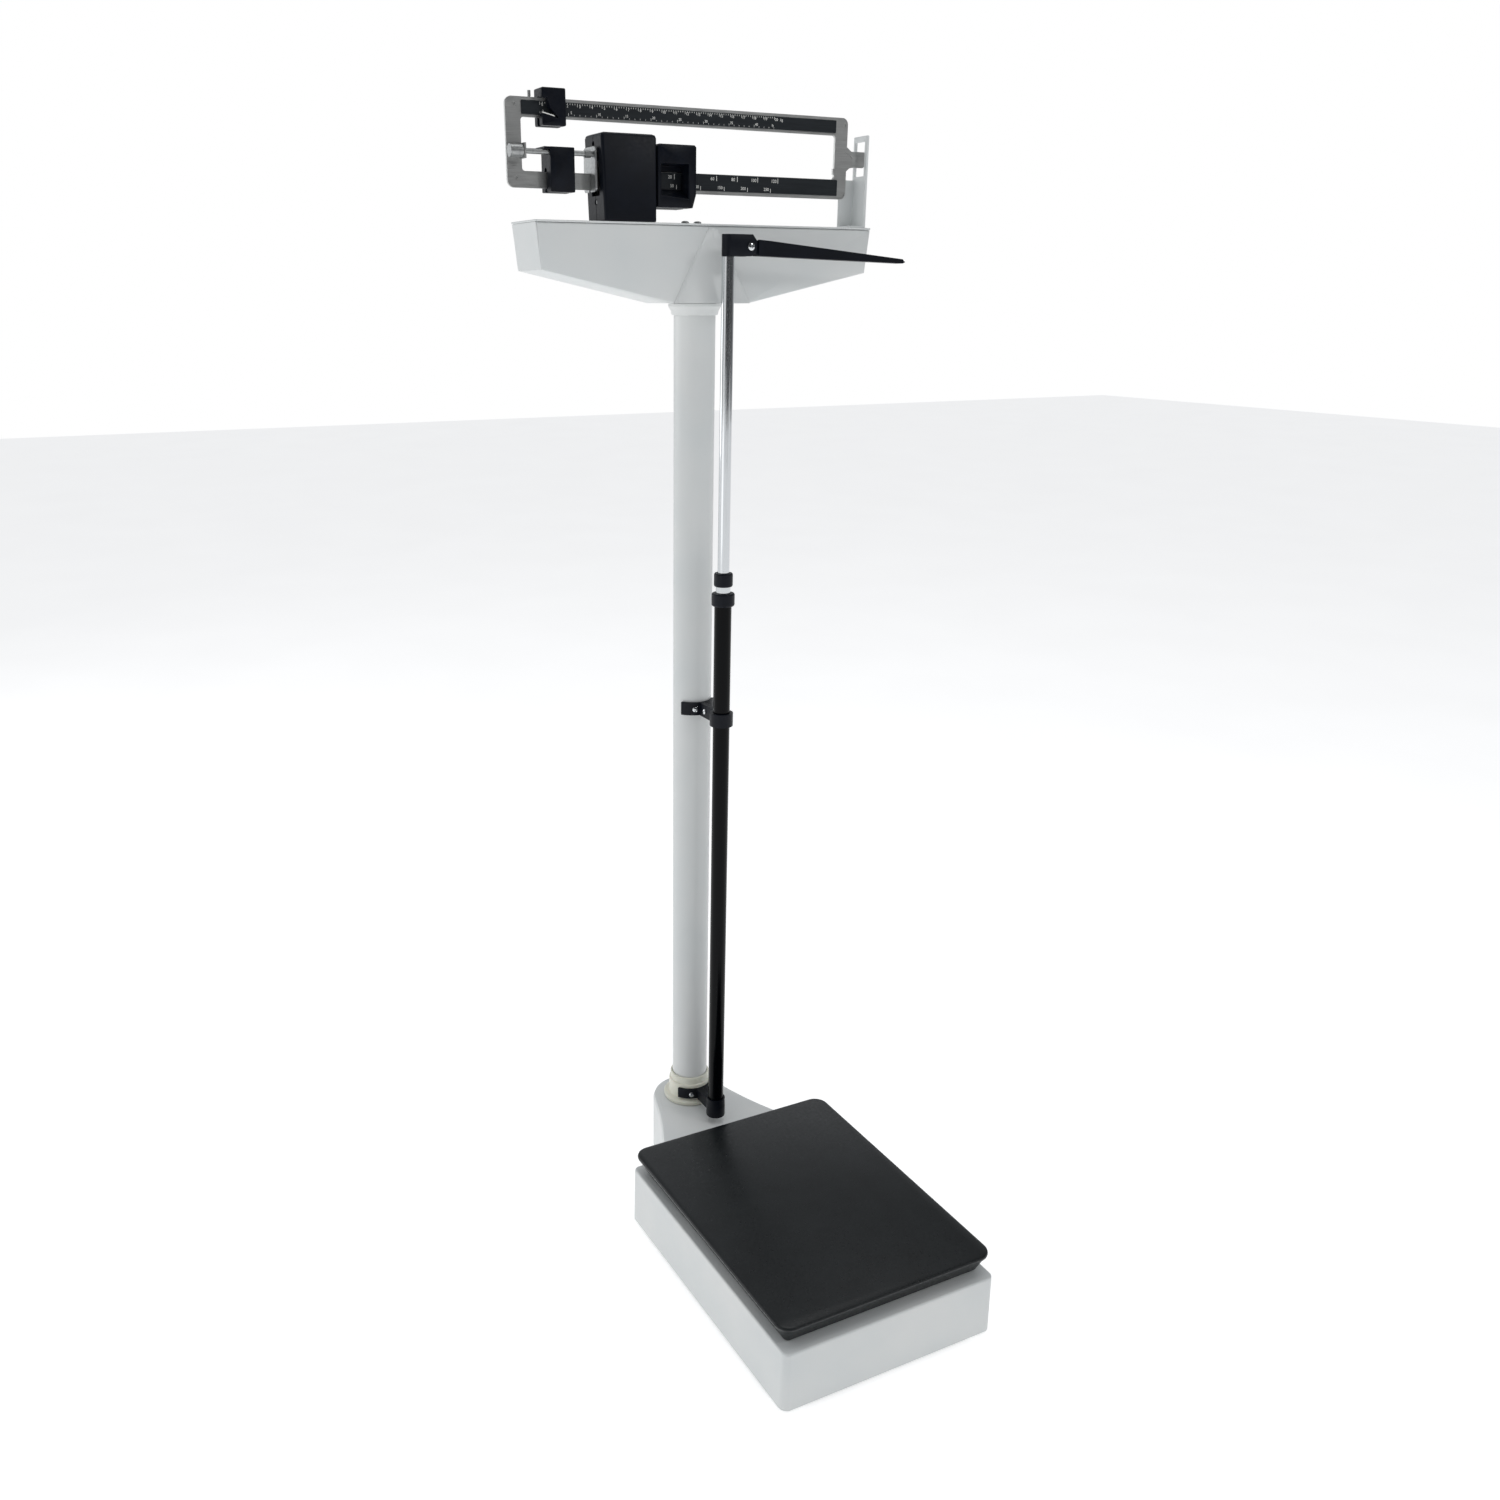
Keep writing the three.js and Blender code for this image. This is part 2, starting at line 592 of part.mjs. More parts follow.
// the dimples left by the spot welds near the frame's corners, and the slit at the root of the tip
function beamMarks(front) {
  const [left, right] = [BEAM_LEFT + 8.6, BEAM_RIGHT - 4.6];
  const places = [
    [left, BEAM_TOP - 6.5], [left, BEAM_BOTTOM + 9.5], [right, BEAM_TOP - 7], [right + 1, BEAM_BOTTOM + 4.6],
  ];
  const dimples = places.map(([x, z]) => crossBar("y", 1.9, front - 1, front + 0.7, x, z, 16));
  const [slitX, slitZ] = [BEAM_RIGHT - 2.5, TIP_HIGH - 1];
  const slit = facing(outline([
    [slitX, slitZ], [slitX + 10, slitZ - 5], [slitX + 10, slitZ - 5.9], [slitX, slitZ - 0.9],
  ]), front - 1, front + 1);
  return [...dimples, slit];
}
function buildBeam() {
  const [front, back] = [BEAM_Y - BEAM_THICK / 2, BEAM_Y + BEAM_THICK / 2];
  const ear = facing(roundedRect(LOAD_KNIFE_X - 8, FULCRUM_X + 8, BEAM_BOTTOM, 1247, 4), front, back);
  const lugX = BEAM_LEFT + END_BAR;
  const lug = box(lugX - 2, lugX, ADJUSTER_Y - 6, back - 1, SCREW_Z - 7, SCREW_Z + 7);
  const tip = facing(outline([
    [BEAM_RIGHT - 6, TIP_LOW - 16], [BEAM_RIGHT - 1, TIP_LOW - 5], [BEAM_RIGHT + 4, TIP_LOW - 1],
    [BEAM_RIGHT + 9, TIP_LOW], [TIP_END - 5, TIP_LOW], [TIP_END - 1.5, TIP_LOW + 3],
    [TIP_END, TIP_LOW + 7], [TIP_END - 1, TIP_HIGH - 4], [TIP_END - 4, TIP_HIGH], [BEAM_RIGHT + 6, TIP_HIGH],
    [BEAM_RIGHT - 1, TIP_HIGH + 5], [BEAM_RIGHT - 6, TIP_HIGH + 12],
  ]), front, back);
  const knifeHoles = [[FULCRUM_X, 3.3], [LOAD_KNIFE_X, 9]].map(([x, above]) =>
    box(x - 3.3, x + 3.3, front - 1, back + 1, KNIFE_Z - 3.3, KNIFE_Z + above));
  const lugHole = crossBar("x", ADJUSTER_RADIUS + GAP, lugX - 5, lugX + 5, ADJUSTER_Y, SCREW_Z, 16);
  const dip = roundedRect(BEAM_LEFT + END_BAR, BRACKET_X + 6, BEAM_LOW_EDGE, 1250, 3);
  const leftDip = facing(dip, front - 1, back + 1);
  const innerEdge = BEAM_RIGHT - END_BAR;
  const catchStep = box(innerEdge - 1.4, innerEdge + 2, front + 0.2, back - 0.2, 1244, 1250);
  const frame = join(cut(facing(beamShape(), front, back), leftDip), ear, tip, lug, catchStep);
  place("beam_frame", cut(frame, ...knifeHoles, lugHole, ...beamMarks(front)), stainless);

  const labelFace = [front - GAP - LABEL_THICK, front - GAP];
  const upper = roundedRect(BEAM_LEFT + END_BAR + 1, innerEdge, BEAM_TOP - 15.5, BEAM_TOP - 3, 0.8);
  place("upper_label", facing(upper, ...labelFace), labelBlack);
  const lower = roundedRect(COVER_RIGHT + 3, innerEdge + 4, BEAM_BOTTOM + 3.4, BEAM_BOTTOM + 19.6, 0.8);
  place("lower_label", facing(lower, ...labelFace), labelBlack);

  const knife = (x, way, half) => facing(outline([
    [x - 3, KNIFE_Z + way * 3], [x - 3, KNIFE_Z], [x, KNIFE_Z - way * 3], [x + 3, KNIFE_Z],
    [x + 3, KNIFE_Z + way * 3],
  ]), BEAM_Y - half, BEAM_Y + half);
  place("fulcrum_knife", knife(FULCRUM_X, 1, 15), steel);
  place("load_knife", knife(LOAD_KNIFE_X, -1, 8), steel);

  const [left, right] = [BRACKET_X - 1, BRACKET_X + 1];
  const bracket = sideways(roundedRect(BEAM_Y - 14.5, BEAM_Y + 14.5, 1217, 1259, 4), left, right);
  const notch = box(left - 1, right + 1, front - GAP, back + GAP, 1200, BEAM_LOW_EDGE + GAP);
  const hole = crossBar("x", ADJUSTER_RADIUS + GAP, left - 1, right + 1, ADJUSTER_Y, SCREW_Z, 16);
  place("adjuster_bracket", cut(bracket, notch, hole), steel);
  place("stop_pin", bar(1.6, BEAM_TOP + GAP, BEAM_TOP + 6, -197, BEAM_Y, 12), steel);
}

/** The stand inside the cover, with a notched cheek on each side of the beam. */
function buildFulcrumStand() {
  const foot = LID_TOP + GAP;
  const seat = KNIFE_Z - 3 - 0.4;
  const cheek = outline([
    [FULCRUM_X - 9, foot], [FULCRUM_X + 9, foot], [FULCRUM_X + 9, seat + 4], [FULCRUM_X + 4.6, seat + 4],
    [FULCRUM_X, seat], [FULCRUM_X - 4.6, seat + 4], [FULCRUM_X - 9, seat + 4],
  ]);
  const cheeks = [[BEAM_Y - 14, BEAM_Y - 9], [BEAM_Y + 9, BEAM_Y + 14]].map(([a, b]) => facing(cheek, a, b));
  const sole = box(FULCRUM_X - 9, FULCRUM_X + 9, BEAM_Y - 14, BEAM_Y + 14, foot, foot + 4);
  place("fulcrum_stand", join(sole, ...cheeks), castIron);
}

/** One half of the cover; side is -1 for the front half and 1 for the rear half. */
function coverHalf(side) {
  const foot = LID_TOP + GAP;
  const seam = BEAM_Y;
  const lean = 3; // the walls draw in a little towards the foot
  const ring = (inset, z, drawn) => rectRing(
    COVER_LEFT + drawn, COVER_RIGHT, COVER_FRONT, COVER_REAR, 3, inset, z);
  const outer = loft([
    ring(0.4, foot, lean), ring(0, foot + 1, lean), ring(0, COVER_TOP - 4, 0), ring(1.2, COVER_TOP - 1.2, 0),
    ring(4, COVER_TOP, 0),
  ]);
  const inner = loft([
    ring(COVER_WALL, foot - 5, lean), ring(COVER_WALL, COVER_TOP - 6, 0),
    ring(COVER_WALL + 2, COVER_TOP - COVER_WALL, 0),
  ]);
  const slot = box(COVER_LEFT - 10, COVER_RIGHT + 10, BEAM_Y - 10, BEAM_Y + 9, BEAM_BOTTOM - 5, 1257);
  const holes = [COVER_SCREW_HIGH, COVER_SCREW_LOW].map((z) =>
    crossBar("x", 2.6, COVER_LEFT - 5, COVER_LEFT + 8, seam, z, 12));
  const [y0, y1] = side < 0 ? [-100, seam - GAP / 2] : [seam + GAP / 2, 100];
  const half = box(-200, 0, y0, y1, foot - 1, COVER_TOP + 1);
  return cut(outer, inner, slot, ...holes).intersect(half);
}

function buildCover() {
  place("cover_front", coverHalf(-1), blackPlastic);
  place("cover_rear", coverHalf(1), blackPlastic);
  for (const [name, z] of [["cover_screw_upper", COVER_SCREW_HIGH], ["cover_screw_lower", COVER_SCREW_LOW]]) {
    place(name, crossBar("x", 2.2, COVER_LEFT + 3, COVER_LEFT + 7, BEAM_Y, z, 12), steel);
  }
}

// ---------------------------------------------------------------- sliding weights and the zero adjuster
const SLOT_FRONT = BEAM_Y - BEAM_THICK / 2 - GAP - LABEL_THICK - 0.5;
const SLOT_REAR = BEAM_Y + BEAM_THICK / 2 + 0.6;

function buildLargePoise() {
  const [left, right, low, high] = [-64.4, -19, 1204, 1264];
  const [front, rear] = [-38, 1];
  const face = outline([
    [left + 1, low], [right - 4, low], [right, low + 13], [right, high - 2], [right - 2, high],
    [left + 2, high], [left, high - 2], [left, low + 1],
  ]);
  const slot = box(left - 5, right + 5, SLOT_FRONT, SLOT_REAR, low - 5, BEAM_BOTTOM + LOWER_BAR + 0.6);
  const window = loft([
    [[left + 8, low + 19], [right - 10, low + 19], [right - 10, high - 19], [left + 8, high - 19]]
      .map(([x, z]) => new THREE.Vector3(x, SLOT_FRONT + 1, z)),
    [[left + 4, low + 11], [right - 9, low + 8], [right - 9, high - 18], [left + 4, high - 18]]
      .map(([x, z]) => new THREE.Vector3(x, front - 1, z)),
  ]);
  place("large_poise", cut(facing(face, front, rear, 0.8), slot, window), blackWeight);
  const pointer = box(left + 8.4, left + 10.4, SLOT_FRONT - 3, SLOT_FRONT - 1.4, low + 20, high - 20);
  place("large_poise_pointer", pointer, markWhite);
}

function buildSmallPoise() {
  const [left, right, low, high] = [-188, -162.4, 1275.6, 1309.4];
  const [front, rear] = [-30, -9];
  const slot = box(left - 5, right + 5, SLOT_FRONT, SLOT_REAR, low - 5, BEAM_TOP + 0.6);
  // the reading notch is open at the left, and its lower edge falls away to the right
  const notch = facing(outline([
    [left - 1, low + 11], [left + 18, low + 6.8], [left + 9, low + 16],
    [left + 6, low + 24.8], [left - 1, low + 24.8],
  ]), front - 2, SLOT_FRONT + 1);
  const body = facing(roundedRect(left, right, low, high, 1.5), front, rear, 0.7);
  place("small_poise", cut(body, slot, notch), blackWeight);
  const pointer = facing(outline([
    [left + 0.6, low + 11], [left + 14, low + 8.1], [left + 12.5, low + 9.4], [left + 0.6, low + 12],
  ]), front + 0.4, front + 2.6);
  place("small_poise_pointer", pointer, markWhite);
}

function buildZeroAdjuster() {
  const [left, right, low, high] = [-181.5, -155, 1215.5, 1256.8];
  const body = facing(roundedRect(left, right, low, high, 1), -32, -7, 0.6);
  const flange = box(left - 6, left + 2, -31, -8, high - 1.9, high - 0.1);
  // the slot for the beam's lower bar ends in a round relief at the top and the bottom
  const [slotY, slotTop] = [BEAM_Y, BEAM_LOW_EDGE + 0.8];
  const slot = box(left - 8, right + 5, slotY - 2.3, slotY + 2.3, low - 5, slotTop);
  const reliefs = [slotTop, low + 1].map((z) => crossBar("x", 3.1, left - 8, right + 5, slotY, z, 16));
  const bore = crossBar("x", ADJUSTER_RADIUS + GAP, left - 8, right + 5, ADJUSTER_Y, SCREW_Z, 16);
  place("zero_block", cut(join(body, flange), slot, ...reliefs, bore), blackWeight);

  const lugX = BEAM_LEFT + END_BAR - 2;
  const shaft = crossBar("x", ADJUSTER_RADIUS, lugX - 5, BRACKET_X + 2, ADJUSTER_Y, SCREW_Z, 16);
  const knob = crossBar("x", KNOB_RADIUS, BEAM_LEFT, lugX - GAP, ADJUSTER_Y, SCREW_Z, 28);
  const nut = crossBar("x", 3.8, BRACKET_X - 10.5, BRACKET_X - 3.5, ADJUSTER_Y, SCREW_Z, 6);
  place("adjuster_screw", join(knob, shaft, nut), steel);
}

// ---------------------------------------------------------------- height rod
/** A bracket in plan: an open band on the column, a web, and an eye round the tube. */
function bracketShape(bandRadius, eyeRadius, webHalf) {
  const band = bandRadius + 3;
  const reach = THREE.MathUtils.degToRad(58);
  const atBand = Math.asin(webHalf / band);
  const atEye = Math.asin(webHalf / eyeRadius);
  const shape = new THREE.Shape();
  const foot = -Math.PI / 2;
  shape.absarc(0, 0, band, foot - reach, foot - atBand);
  shape.absarc(0, ROD_Y, eyeRadius, Math.PI / 2 + atEye, Math.PI * 2.5 - atEye);
  shape.absarc(0, 0, band, foot + atBand, foot + reach);
  shape.absarc(0, 0, bandRadius, foot + reach, foot - reach, true);
  shape.closePath();
  return shape;
}

function buildBrackets() {
  const tubeBore = OUTER_TUBE_RADIUS + GAP;
  const middle = standing(bracketShape(COLUMN_RADIUS + GAP, 13.9, 3.5), 640, 656, 0, 8);
  place("middle_bracket", cut(middle, bar(tubeBore, 630, 670, 0, ROD_Y, 36)), blackPlastic);

  const band = standing(bracketShape(COLLAR_RADIUS + GAP, 12.4, 5), 98, 112, 0, 8);
  const cup = bar(12.2, CUP_BOTTOM, 124, 0, ROD_Y, 36);
  const bore = bar(tubeBore, CUP_BOTTOM + 2.4, 130, 0, ROD_Y, 36);
  place("foot_bracket", cut(join(band, cup), bore), blackPlastic);

  bracketScrew("middle_bracket_screw", COLUMN_RADIUS + GAP + 3, -20, 648);
  const web = -3.5 - GAP;
  place("clamp_bolt", crossBar("x", 3.3, web - 2.2, web, -40, 648, 16), chrome);
  bracketScrew("foot_bracket_screw", COLLAR_RADIUS + GAP + 3, -23, 105);
}

/** A pan head that lies on a band round the column, turned by an angle from the front. */
function bracketScrew(name, radius, degrees, z) {
  const from = radius + GAP;
  const profile = [[0, from], [3.4, from], [3.4, from + 1], [2.4, from + 2.2], [0, from + 2.6]];
  const points = profile.map(([r, h]) => new THREE.Vector2(r, h));
  const geometry = new THREE.LatheGeometry(points, 16);
  geometry.rotateZ(Math.PI).rotateZ(THREE.MathUtils.degToRad(degrees)).translate(0, 0, z);
  place(name, solid(geometry), chrome);
}

function buildTubes() {
  const foot = CUP_BOTTOM + 2.4 + GAP;
  const outer = pipe(OUTER_TUBE_RADIUS, 8.8, foot, OUTER_TUBE_TOP, 0, ROD_Y);
  place("outer_tube", outer, blackTube);
  const [low, high] = [784, 799];
  const [wide, narrow] = [OUTER_TUBE_RADIUS + GAP, MIDDLE_TUBE_RADIUS + 0.35];
  const cap = turned([
    [wide, low], [12.4, low], [13.4, low + 1.5], [13.4, high - 1.5], [12.4, high], [narrow, high],
    [narrow, OUTER_TUBE_TOP + GAP], [wide, OUTER_TUBE_TOP + GAP], [wide, low],
  ], 0, ROD_Y);
  place("outer_tube_collar", cap, blackPlastic);

  place("middle_tube", pipe(MIDDLE_TUBE_RADIUS, 7.15, 107, 819, 0, ROD_Y), chrome);
  const [grip, slide] = [MIDDLE_TUBE_RADIUS + GAP, INNER_ROD_RADIUS + 0.35];
  const collar = turned([
    [grip, 806.5], [10, 806.5], [10.9, 808], [10.9, 820.5], [10, 822], [slide, 822], [slide, 819.3],
    [grip, 819.3], [grip, 806.5],
  ], 0, ROD_Y);
  place("middle_tube_collar", collar, blackPlastic);

  const shoulder = CLIP_BOTTOM - GAP;
  const rod = turned([
    [0, 1140], [5.6, 1140], [5.6, 480], [INNER_ROD_RADIUS - 0.6, 480], [INNER_ROD_RADIUS, 481],
    [INNER_ROD_RADIUS, shoulder], [4.5, shoulder], [4.5, 1172], [0, 1172],
  ], 0, ROD_Y, 32);
  place("inner_rod", rod, chrome);
}

/** The clip on top of the rod: a fork that is open below, with a solid round end on the rod. */
function buildHeadClip() {
  const right = HINGE_X + 7.6;
  const side = new THREE.Shape();
  side.moveTo(-CLIP_HALF, CLIP_BOTTOM);
  side.lineTo(right - 8, CLIP_BOTTOM);
  side.absarc(right - 8, CLIP_BOTTOM + 8, 8, -Math.PI / 2, 0);
  side.lineTo(right, CLIP_TOP - 6);
  side.lineTo(right - 5, CLIP_TOP);
  side.lineTo(-CLIP_HALF, CLIP_TOP);
  side.closePath();
  const [front, rear] = [ROD_Y - CLIP_HALF, ROD_Y + CLIP_HALF];
  const plan = new THREE.Shape();
  plan.moveTo(40, front);
  plan.lineTo(40, rear);
  plan.absarc(0, ROD_Y, CLIP_HALF, Math.PI / 2, Math.PI * 1.5);
  const rounded = standing(plan, CLIP_BOTTOM - 5, CLIP_TOP + 5, 0, 8);
  const fork = box(HINGE_X - 11, 60, ROD_Y - 4.8, ROD_Y + 4.8, CLIP_BOTTOM - 5, CLIP_TOP - 2);
  const socket = bar(4.5 + GAP, CLIP_BOTTOM - 5, 1172 + GAP, 0, ROD_Y, 20);
  const pinHole = crossBar("y", 2.5, front - 5, rear + 5, HINGE_X, HINGE_Z, 16);
  const clip = cut(facing(side, front, rear, 0.5).intersect(rounded), fork, socket, pinHole);
  place("head_clip", clip, blackPlastic);

  const from = front - GAP;
  const head = crossBar("y", 4.1, from - 2.2, from, HINGE_X, HINGE_Z, 20);
  const shaft = crossBar("y", 2.1, from - 1, rear, HINGE_X, HINGE_Z, 16);
  place("clip_screw", join(head, shaft), chrome);
}

/** The arm: an angle section that tapers to its tip, on a round root that turns in the clip. */
function buildHeadArm() {
  const start = HINGE_X + 10.2;
  const [front, rear] = [ROD_Y - CLIP_HALF + 0.2, ROD_Y + CLIP_HALF - 0.2];
  const web = outline([
    [start, 1157], [ARM_TIP - 3, 1151.5], [ARM_TIP, 1152.5], [ARM_TIP - 3, 1156],
    [start + 14, 1172], [start, 1173],
  ]);
  const flange = outline([
    [start, 1157], [ARM_TIP - 3, 1151.5], [ARM_TIP, 1152.5], [ARM_TIP, 1153.8], [start, 1159.4],
  ]);
  const root = join(
    crossBar("y", 8, ROD_Y - 4.5, ROD_Y + 4.5, HINGE_X, HINGE_Z, 24),
    box(HINGE_X, start + 2, ROD_Y - 4.5, ROD_Y + 4.5, 1159, 1172),
  );
  const eye = crossBar("y", 2.4, ROD_Y - 10, ROD_Y + 10, HINGE_X, HINGE_Z, 16);
  const end = box(start, start + 2.5, front, rear, 1158, 1172.5);
  const arm = join(facing(web, front, front + 2.6), facing(flange, front, rear), end, cut(root, eye));
  place("head_arm", arm, blackPlastic);
}

// ---------------------------------------------------------------- everything
buildBase();
buildFeet();
buildLevers();
buildFulcrumBars();
buildPlatform();
buildColumn();
buildHousing();
buildTrigLoop();
buildHeadLever();
buildDraftRod();
buildBeam();
buildFulcrumStand();
buildCover();
buildLargePoise();
buildSmallPoise();
buildZeroAdjuster();
buildBrackets();
buildTubes();
buildHeadClip();
buildHeadArm();

export default scale;
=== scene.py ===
# %% [markdown]
# # A mechanical beam scale with a height rod
# A person stands on the black platform, and levers hidden in the white base pull on a rod inside the
# column. The rod tips a double beam, and two black weights slide along it until it is level again.
# The solid model already has every piece at its size and place, so this lesson only adds what the eye
# looks for next: rounded edges, paint, brushed steel, printed scales and screws with a cross recess.

# %% Load the solid model
import json
import math

import bmesh
import bpy
from mathutils import Matrix, Vector

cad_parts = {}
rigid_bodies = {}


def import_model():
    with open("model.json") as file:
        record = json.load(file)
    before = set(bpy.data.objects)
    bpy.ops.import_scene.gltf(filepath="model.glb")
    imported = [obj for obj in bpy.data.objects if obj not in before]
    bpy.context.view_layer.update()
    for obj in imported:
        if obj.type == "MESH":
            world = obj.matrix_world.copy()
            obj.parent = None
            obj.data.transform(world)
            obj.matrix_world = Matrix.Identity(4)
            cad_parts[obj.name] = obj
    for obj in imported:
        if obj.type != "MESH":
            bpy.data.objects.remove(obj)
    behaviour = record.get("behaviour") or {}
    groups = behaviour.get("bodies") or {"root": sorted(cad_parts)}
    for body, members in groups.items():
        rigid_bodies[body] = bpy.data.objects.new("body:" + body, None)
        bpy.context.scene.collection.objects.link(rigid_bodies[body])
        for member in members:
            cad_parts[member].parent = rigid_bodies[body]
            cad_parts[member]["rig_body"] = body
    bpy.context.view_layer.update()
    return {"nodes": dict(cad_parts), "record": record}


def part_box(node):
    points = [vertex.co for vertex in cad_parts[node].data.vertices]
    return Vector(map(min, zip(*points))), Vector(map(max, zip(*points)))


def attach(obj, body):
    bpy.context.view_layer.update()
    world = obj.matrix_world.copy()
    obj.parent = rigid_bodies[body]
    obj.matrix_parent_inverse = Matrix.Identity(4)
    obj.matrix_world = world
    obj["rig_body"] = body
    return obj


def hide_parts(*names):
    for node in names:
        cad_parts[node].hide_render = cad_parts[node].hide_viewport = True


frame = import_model()
nodes = frame["nodes"]
MM = 0.001

# %% [markdown]
# ## Colours and nodes
# Paint charts and pictures give colours as sRGB hex numbers, but a shader adds up light, so it wants
# linear values. One function makes that change. A second one adds a node to a material: it sets the
# node's inputs and properties by name, and joins inputs to the outputs of nodes made before it.

# %% Helpers for every finish
def linear(hex_colour):
    """An sRGB colour such as "#c0c0c0" as the four linear values that a shader takes."""
    channels = [int(hex_colour[i:i + 2], 16) / 255 for i in (1, 3, 5)]
    return [c / 12.92 if c <= 0.04045 else ((c + 0.055) / 1.055) ** 2.4 for c in channels] + [1]


def add(material, kind, settings=(), links=()):
    """Adds a node, sets its inputs or properties by name or number, and links its inputs to outputs."""
    made = material.node_tree.nodes.new("ShaderNode" + kind)
    for name, value in dict(settings).items():
        if isinstance(name, int) or name in made.inputs:
            made.inputs[name].default_value = value
        else:
            setattr(made, name, value)
    for name, output in dict(links).items():
        material.node_tree.links.new(output, made.inputs[name])
    return made


def begin(name, colour, roughness, metallic=0.0, **more):
    """A new material and its Principled shader, with the values that are the same all over."""
    material = bpy.data.materials.new(name)
    material.use_nodes = True
    shader = material.node_tree.nodes["Principled BSDF"]
    shader.inputs["Base Color"].default_value = linear(colour)
    shader.inputs["Roughness"].default_value = roughness
    shader.inputs["Metallic"].default_value = metallic
    for socket, value in more.items():
        shader.inputs[socket.replace("_", " ")].default_value = value
    return material, shader


def grain(material, size, detail=2.0, stretch=(1, 1, 1)):
    """Noise whose blobs are about size millimetres across, or longer along an axis with a small stretch."""
    place = add(material, "TexCoord")
    scaled = add(material, "Mapping", {"Scale": stretch}, {"Vector": place.outputs["Object"]})
    settings = {"Scale": 1 / (size * MM), "Detail": detail}
    return add(material, "TexNoise", settings, {"Vector": scaled.outputs["Vector"]}).outputs["Fac"]


def spread(material, shader, socket, source, low, high):
    """Lets a noise move one value of the shader between low and high: two numbers or two hex colours."""
    if isinstance(low, str):
        ramp = add(material, "ValToRGB", {}, {"Fac": source})
        ramp.color_ramp.elements[0].color = linear(low)
        ramp.color_ramp.elements[1].color = linear(high)
        ramp.color_ramp.elements[0].position = 0.3
        ramp.color_ramp.elements[1].position = 0.7
        output = ramp.outputs["Color"]
    else:
        output = add(material, "MapRange", {"From Min": 0.3, "From Max": 0.7, "To Min": low, "To Max": high},
                     {"Value": source}).outputs["Result"]
    material.node_tree.links.new(output, shader.inputs[socket])


def bump(material, shader, source, height, strength=1.0):
    """Raises and sinks the surface by height millimetres where the source is light and dark."""
    made = add(material, "Bump", {"Strength": strength, "Distance": height * MM}, {"Height": source})
    material.node_tree.links.new(made.outputs["Normal"], shader.inputs["Normal"])


print("helpers ready; mid grey in linear light is", round(linear("#808080")[0], 3))

# %% [markdown]
# ## Paint
# The base, column and beam housing are sheet steel with a white **powder coat**. The powder melts in
# an oven and leaves a faint orange peel, with waves about 2 mm apart. A height of about ten microns
# is enough, because the eye sees it only in the reflections. Paint is a dielectric, IOR about 1.5.

# %% White powder coat and the black paints
def white_powder_coat():
    """Semi-gloss powder coat: a soft, slightly wavy gloss and almost no colour change."""
    material, shader = begin("white_powder_coat", "#d5d8d8", 0.36, IOR=1.5)
    spread(material, shader, "Base Color", grain(material, 90), "#d2d6d6", "#d9dbda")
    spread(material, shader, "Roughness", grain(material, 6), 0.32, 0.42)
    bump(material, shader, grain(material, 1.8), 0.012)
    return material


def black_weight_enamel():
    """Stoved enamel on cast zinc: the casting's fine roughness shows through the thin paint."""
    material, shader = begin("black_weight_enamel", "#080c15", 0.34, IOR=1.5, Specular_IOR_Level=0.18)
    spread(material, shader, "Base Color", grain(material, 14), "#070a12", "#0b101a")
    spread(material, shader, "Roughness", grain(material, 2.5), 0.30, 0.44)
    bump(material, shader, grain(material, 0.9, 4.0), 0.02)
    return material


def platform_enamel():
    """Thick glossy enamel with fine dust and shoe scuffs, which show as patches that are less shiny."""
    material, shader = begin("platform_enamel", "#101416", 0.3, IOR=1.5, Specular_IOR_Level=0.3)
    spread(material, shader, "Base Color", grain(material, 30, 6.0), "#0d1113", "#15191b")
    spread(material, shader, "Roughness", grain(material, 4, 6.0), 0.26, 0.42)
    bump(material, shader, grain(material, 1.4), 0.025)
    return material


def black_tube_paint():
    """Glossy black paint on a drawn tube, with long faint streaks from wiping it down."""
    material, shader = begin("black_tube_paint", "#020305", 0.16, IOR=1.5, Specular_IOR_Level=0.12)
    spread(material, shader, "Roughness", grain(material, 1.5, 3.0, (1, 1, 0.03)), 0.13, 0.22)
    bump(material, shader, grain(material, 2.2), 0.008)
    return material


# %% [markdown]
# ## Moulded plastic and rubber
# The cover over the pivot, the clips and the head arm are **ABS**, IOR 1.54, moulded in a spark-eroded
# tool that leaves a grain of about half a millimetre. The true grain is finer than shows at this
# distance, so it is drawn at 0.7 mm. The feet are plain rubber, which is rougher and not as dark.

# %% Plastics
def black_abs():
    """Satin black ABS: a fine even grain that breaks up the highlights."""
    material, shader = begin("black_abs", "#080c15", 0.4, IOR=1.54, Specular_IOR_Level=0.18)
    spread(material, shader, "Base Color", grain(material, 25), "#070b13", "#0b101a")
    spread(material, shader, "Roughness", grain(material, 3), 0.36, 0.46)
    bump(material, shader, grain(material, 0.7, 3.0), 0.02)
    return material


def cream_abs():
    """Semi-gloss ABS that has yellowed a little beside the white paint."""
    material, shader = begin("cream_abs", "#dcdacb", 0.3, IOR=1.54, Subsurface_Weight=0.05)
    spread(material, shader, "Base Color", grain(material, 40), "#d8d6c6", "#e0decf")
    bump(material, shader, grain(material, 1.2), 0.01)
    return material


def foot_rubber():
    """Moulded rubber: dull, with dust in its pores."""
    material, shader = begin("foot_rubber", "#1c1c1c", 0.8, IOR=1.52)
    spread(material, shader, "Base Color", grain(material, 3, 4.0), "#171717", "#262625")
    bump(material, shader, grain(material, 0.8, 4.0), 0.04)
    return material


# %% [markdown]
# ## Metals
# The beam is **stainless sheet** brushed along its length: fine scratches, drawn 0.35 mm apart and
# about 2 cm long, which pull each highlight across them. The rod is **chrome plate** on a
# ground tube. Screws and links are **zinc-plated steel**, and the levers are **cast iron** under grey
# paint. A metal's colour is its reflectance, so the values are light and the default IOR stays.

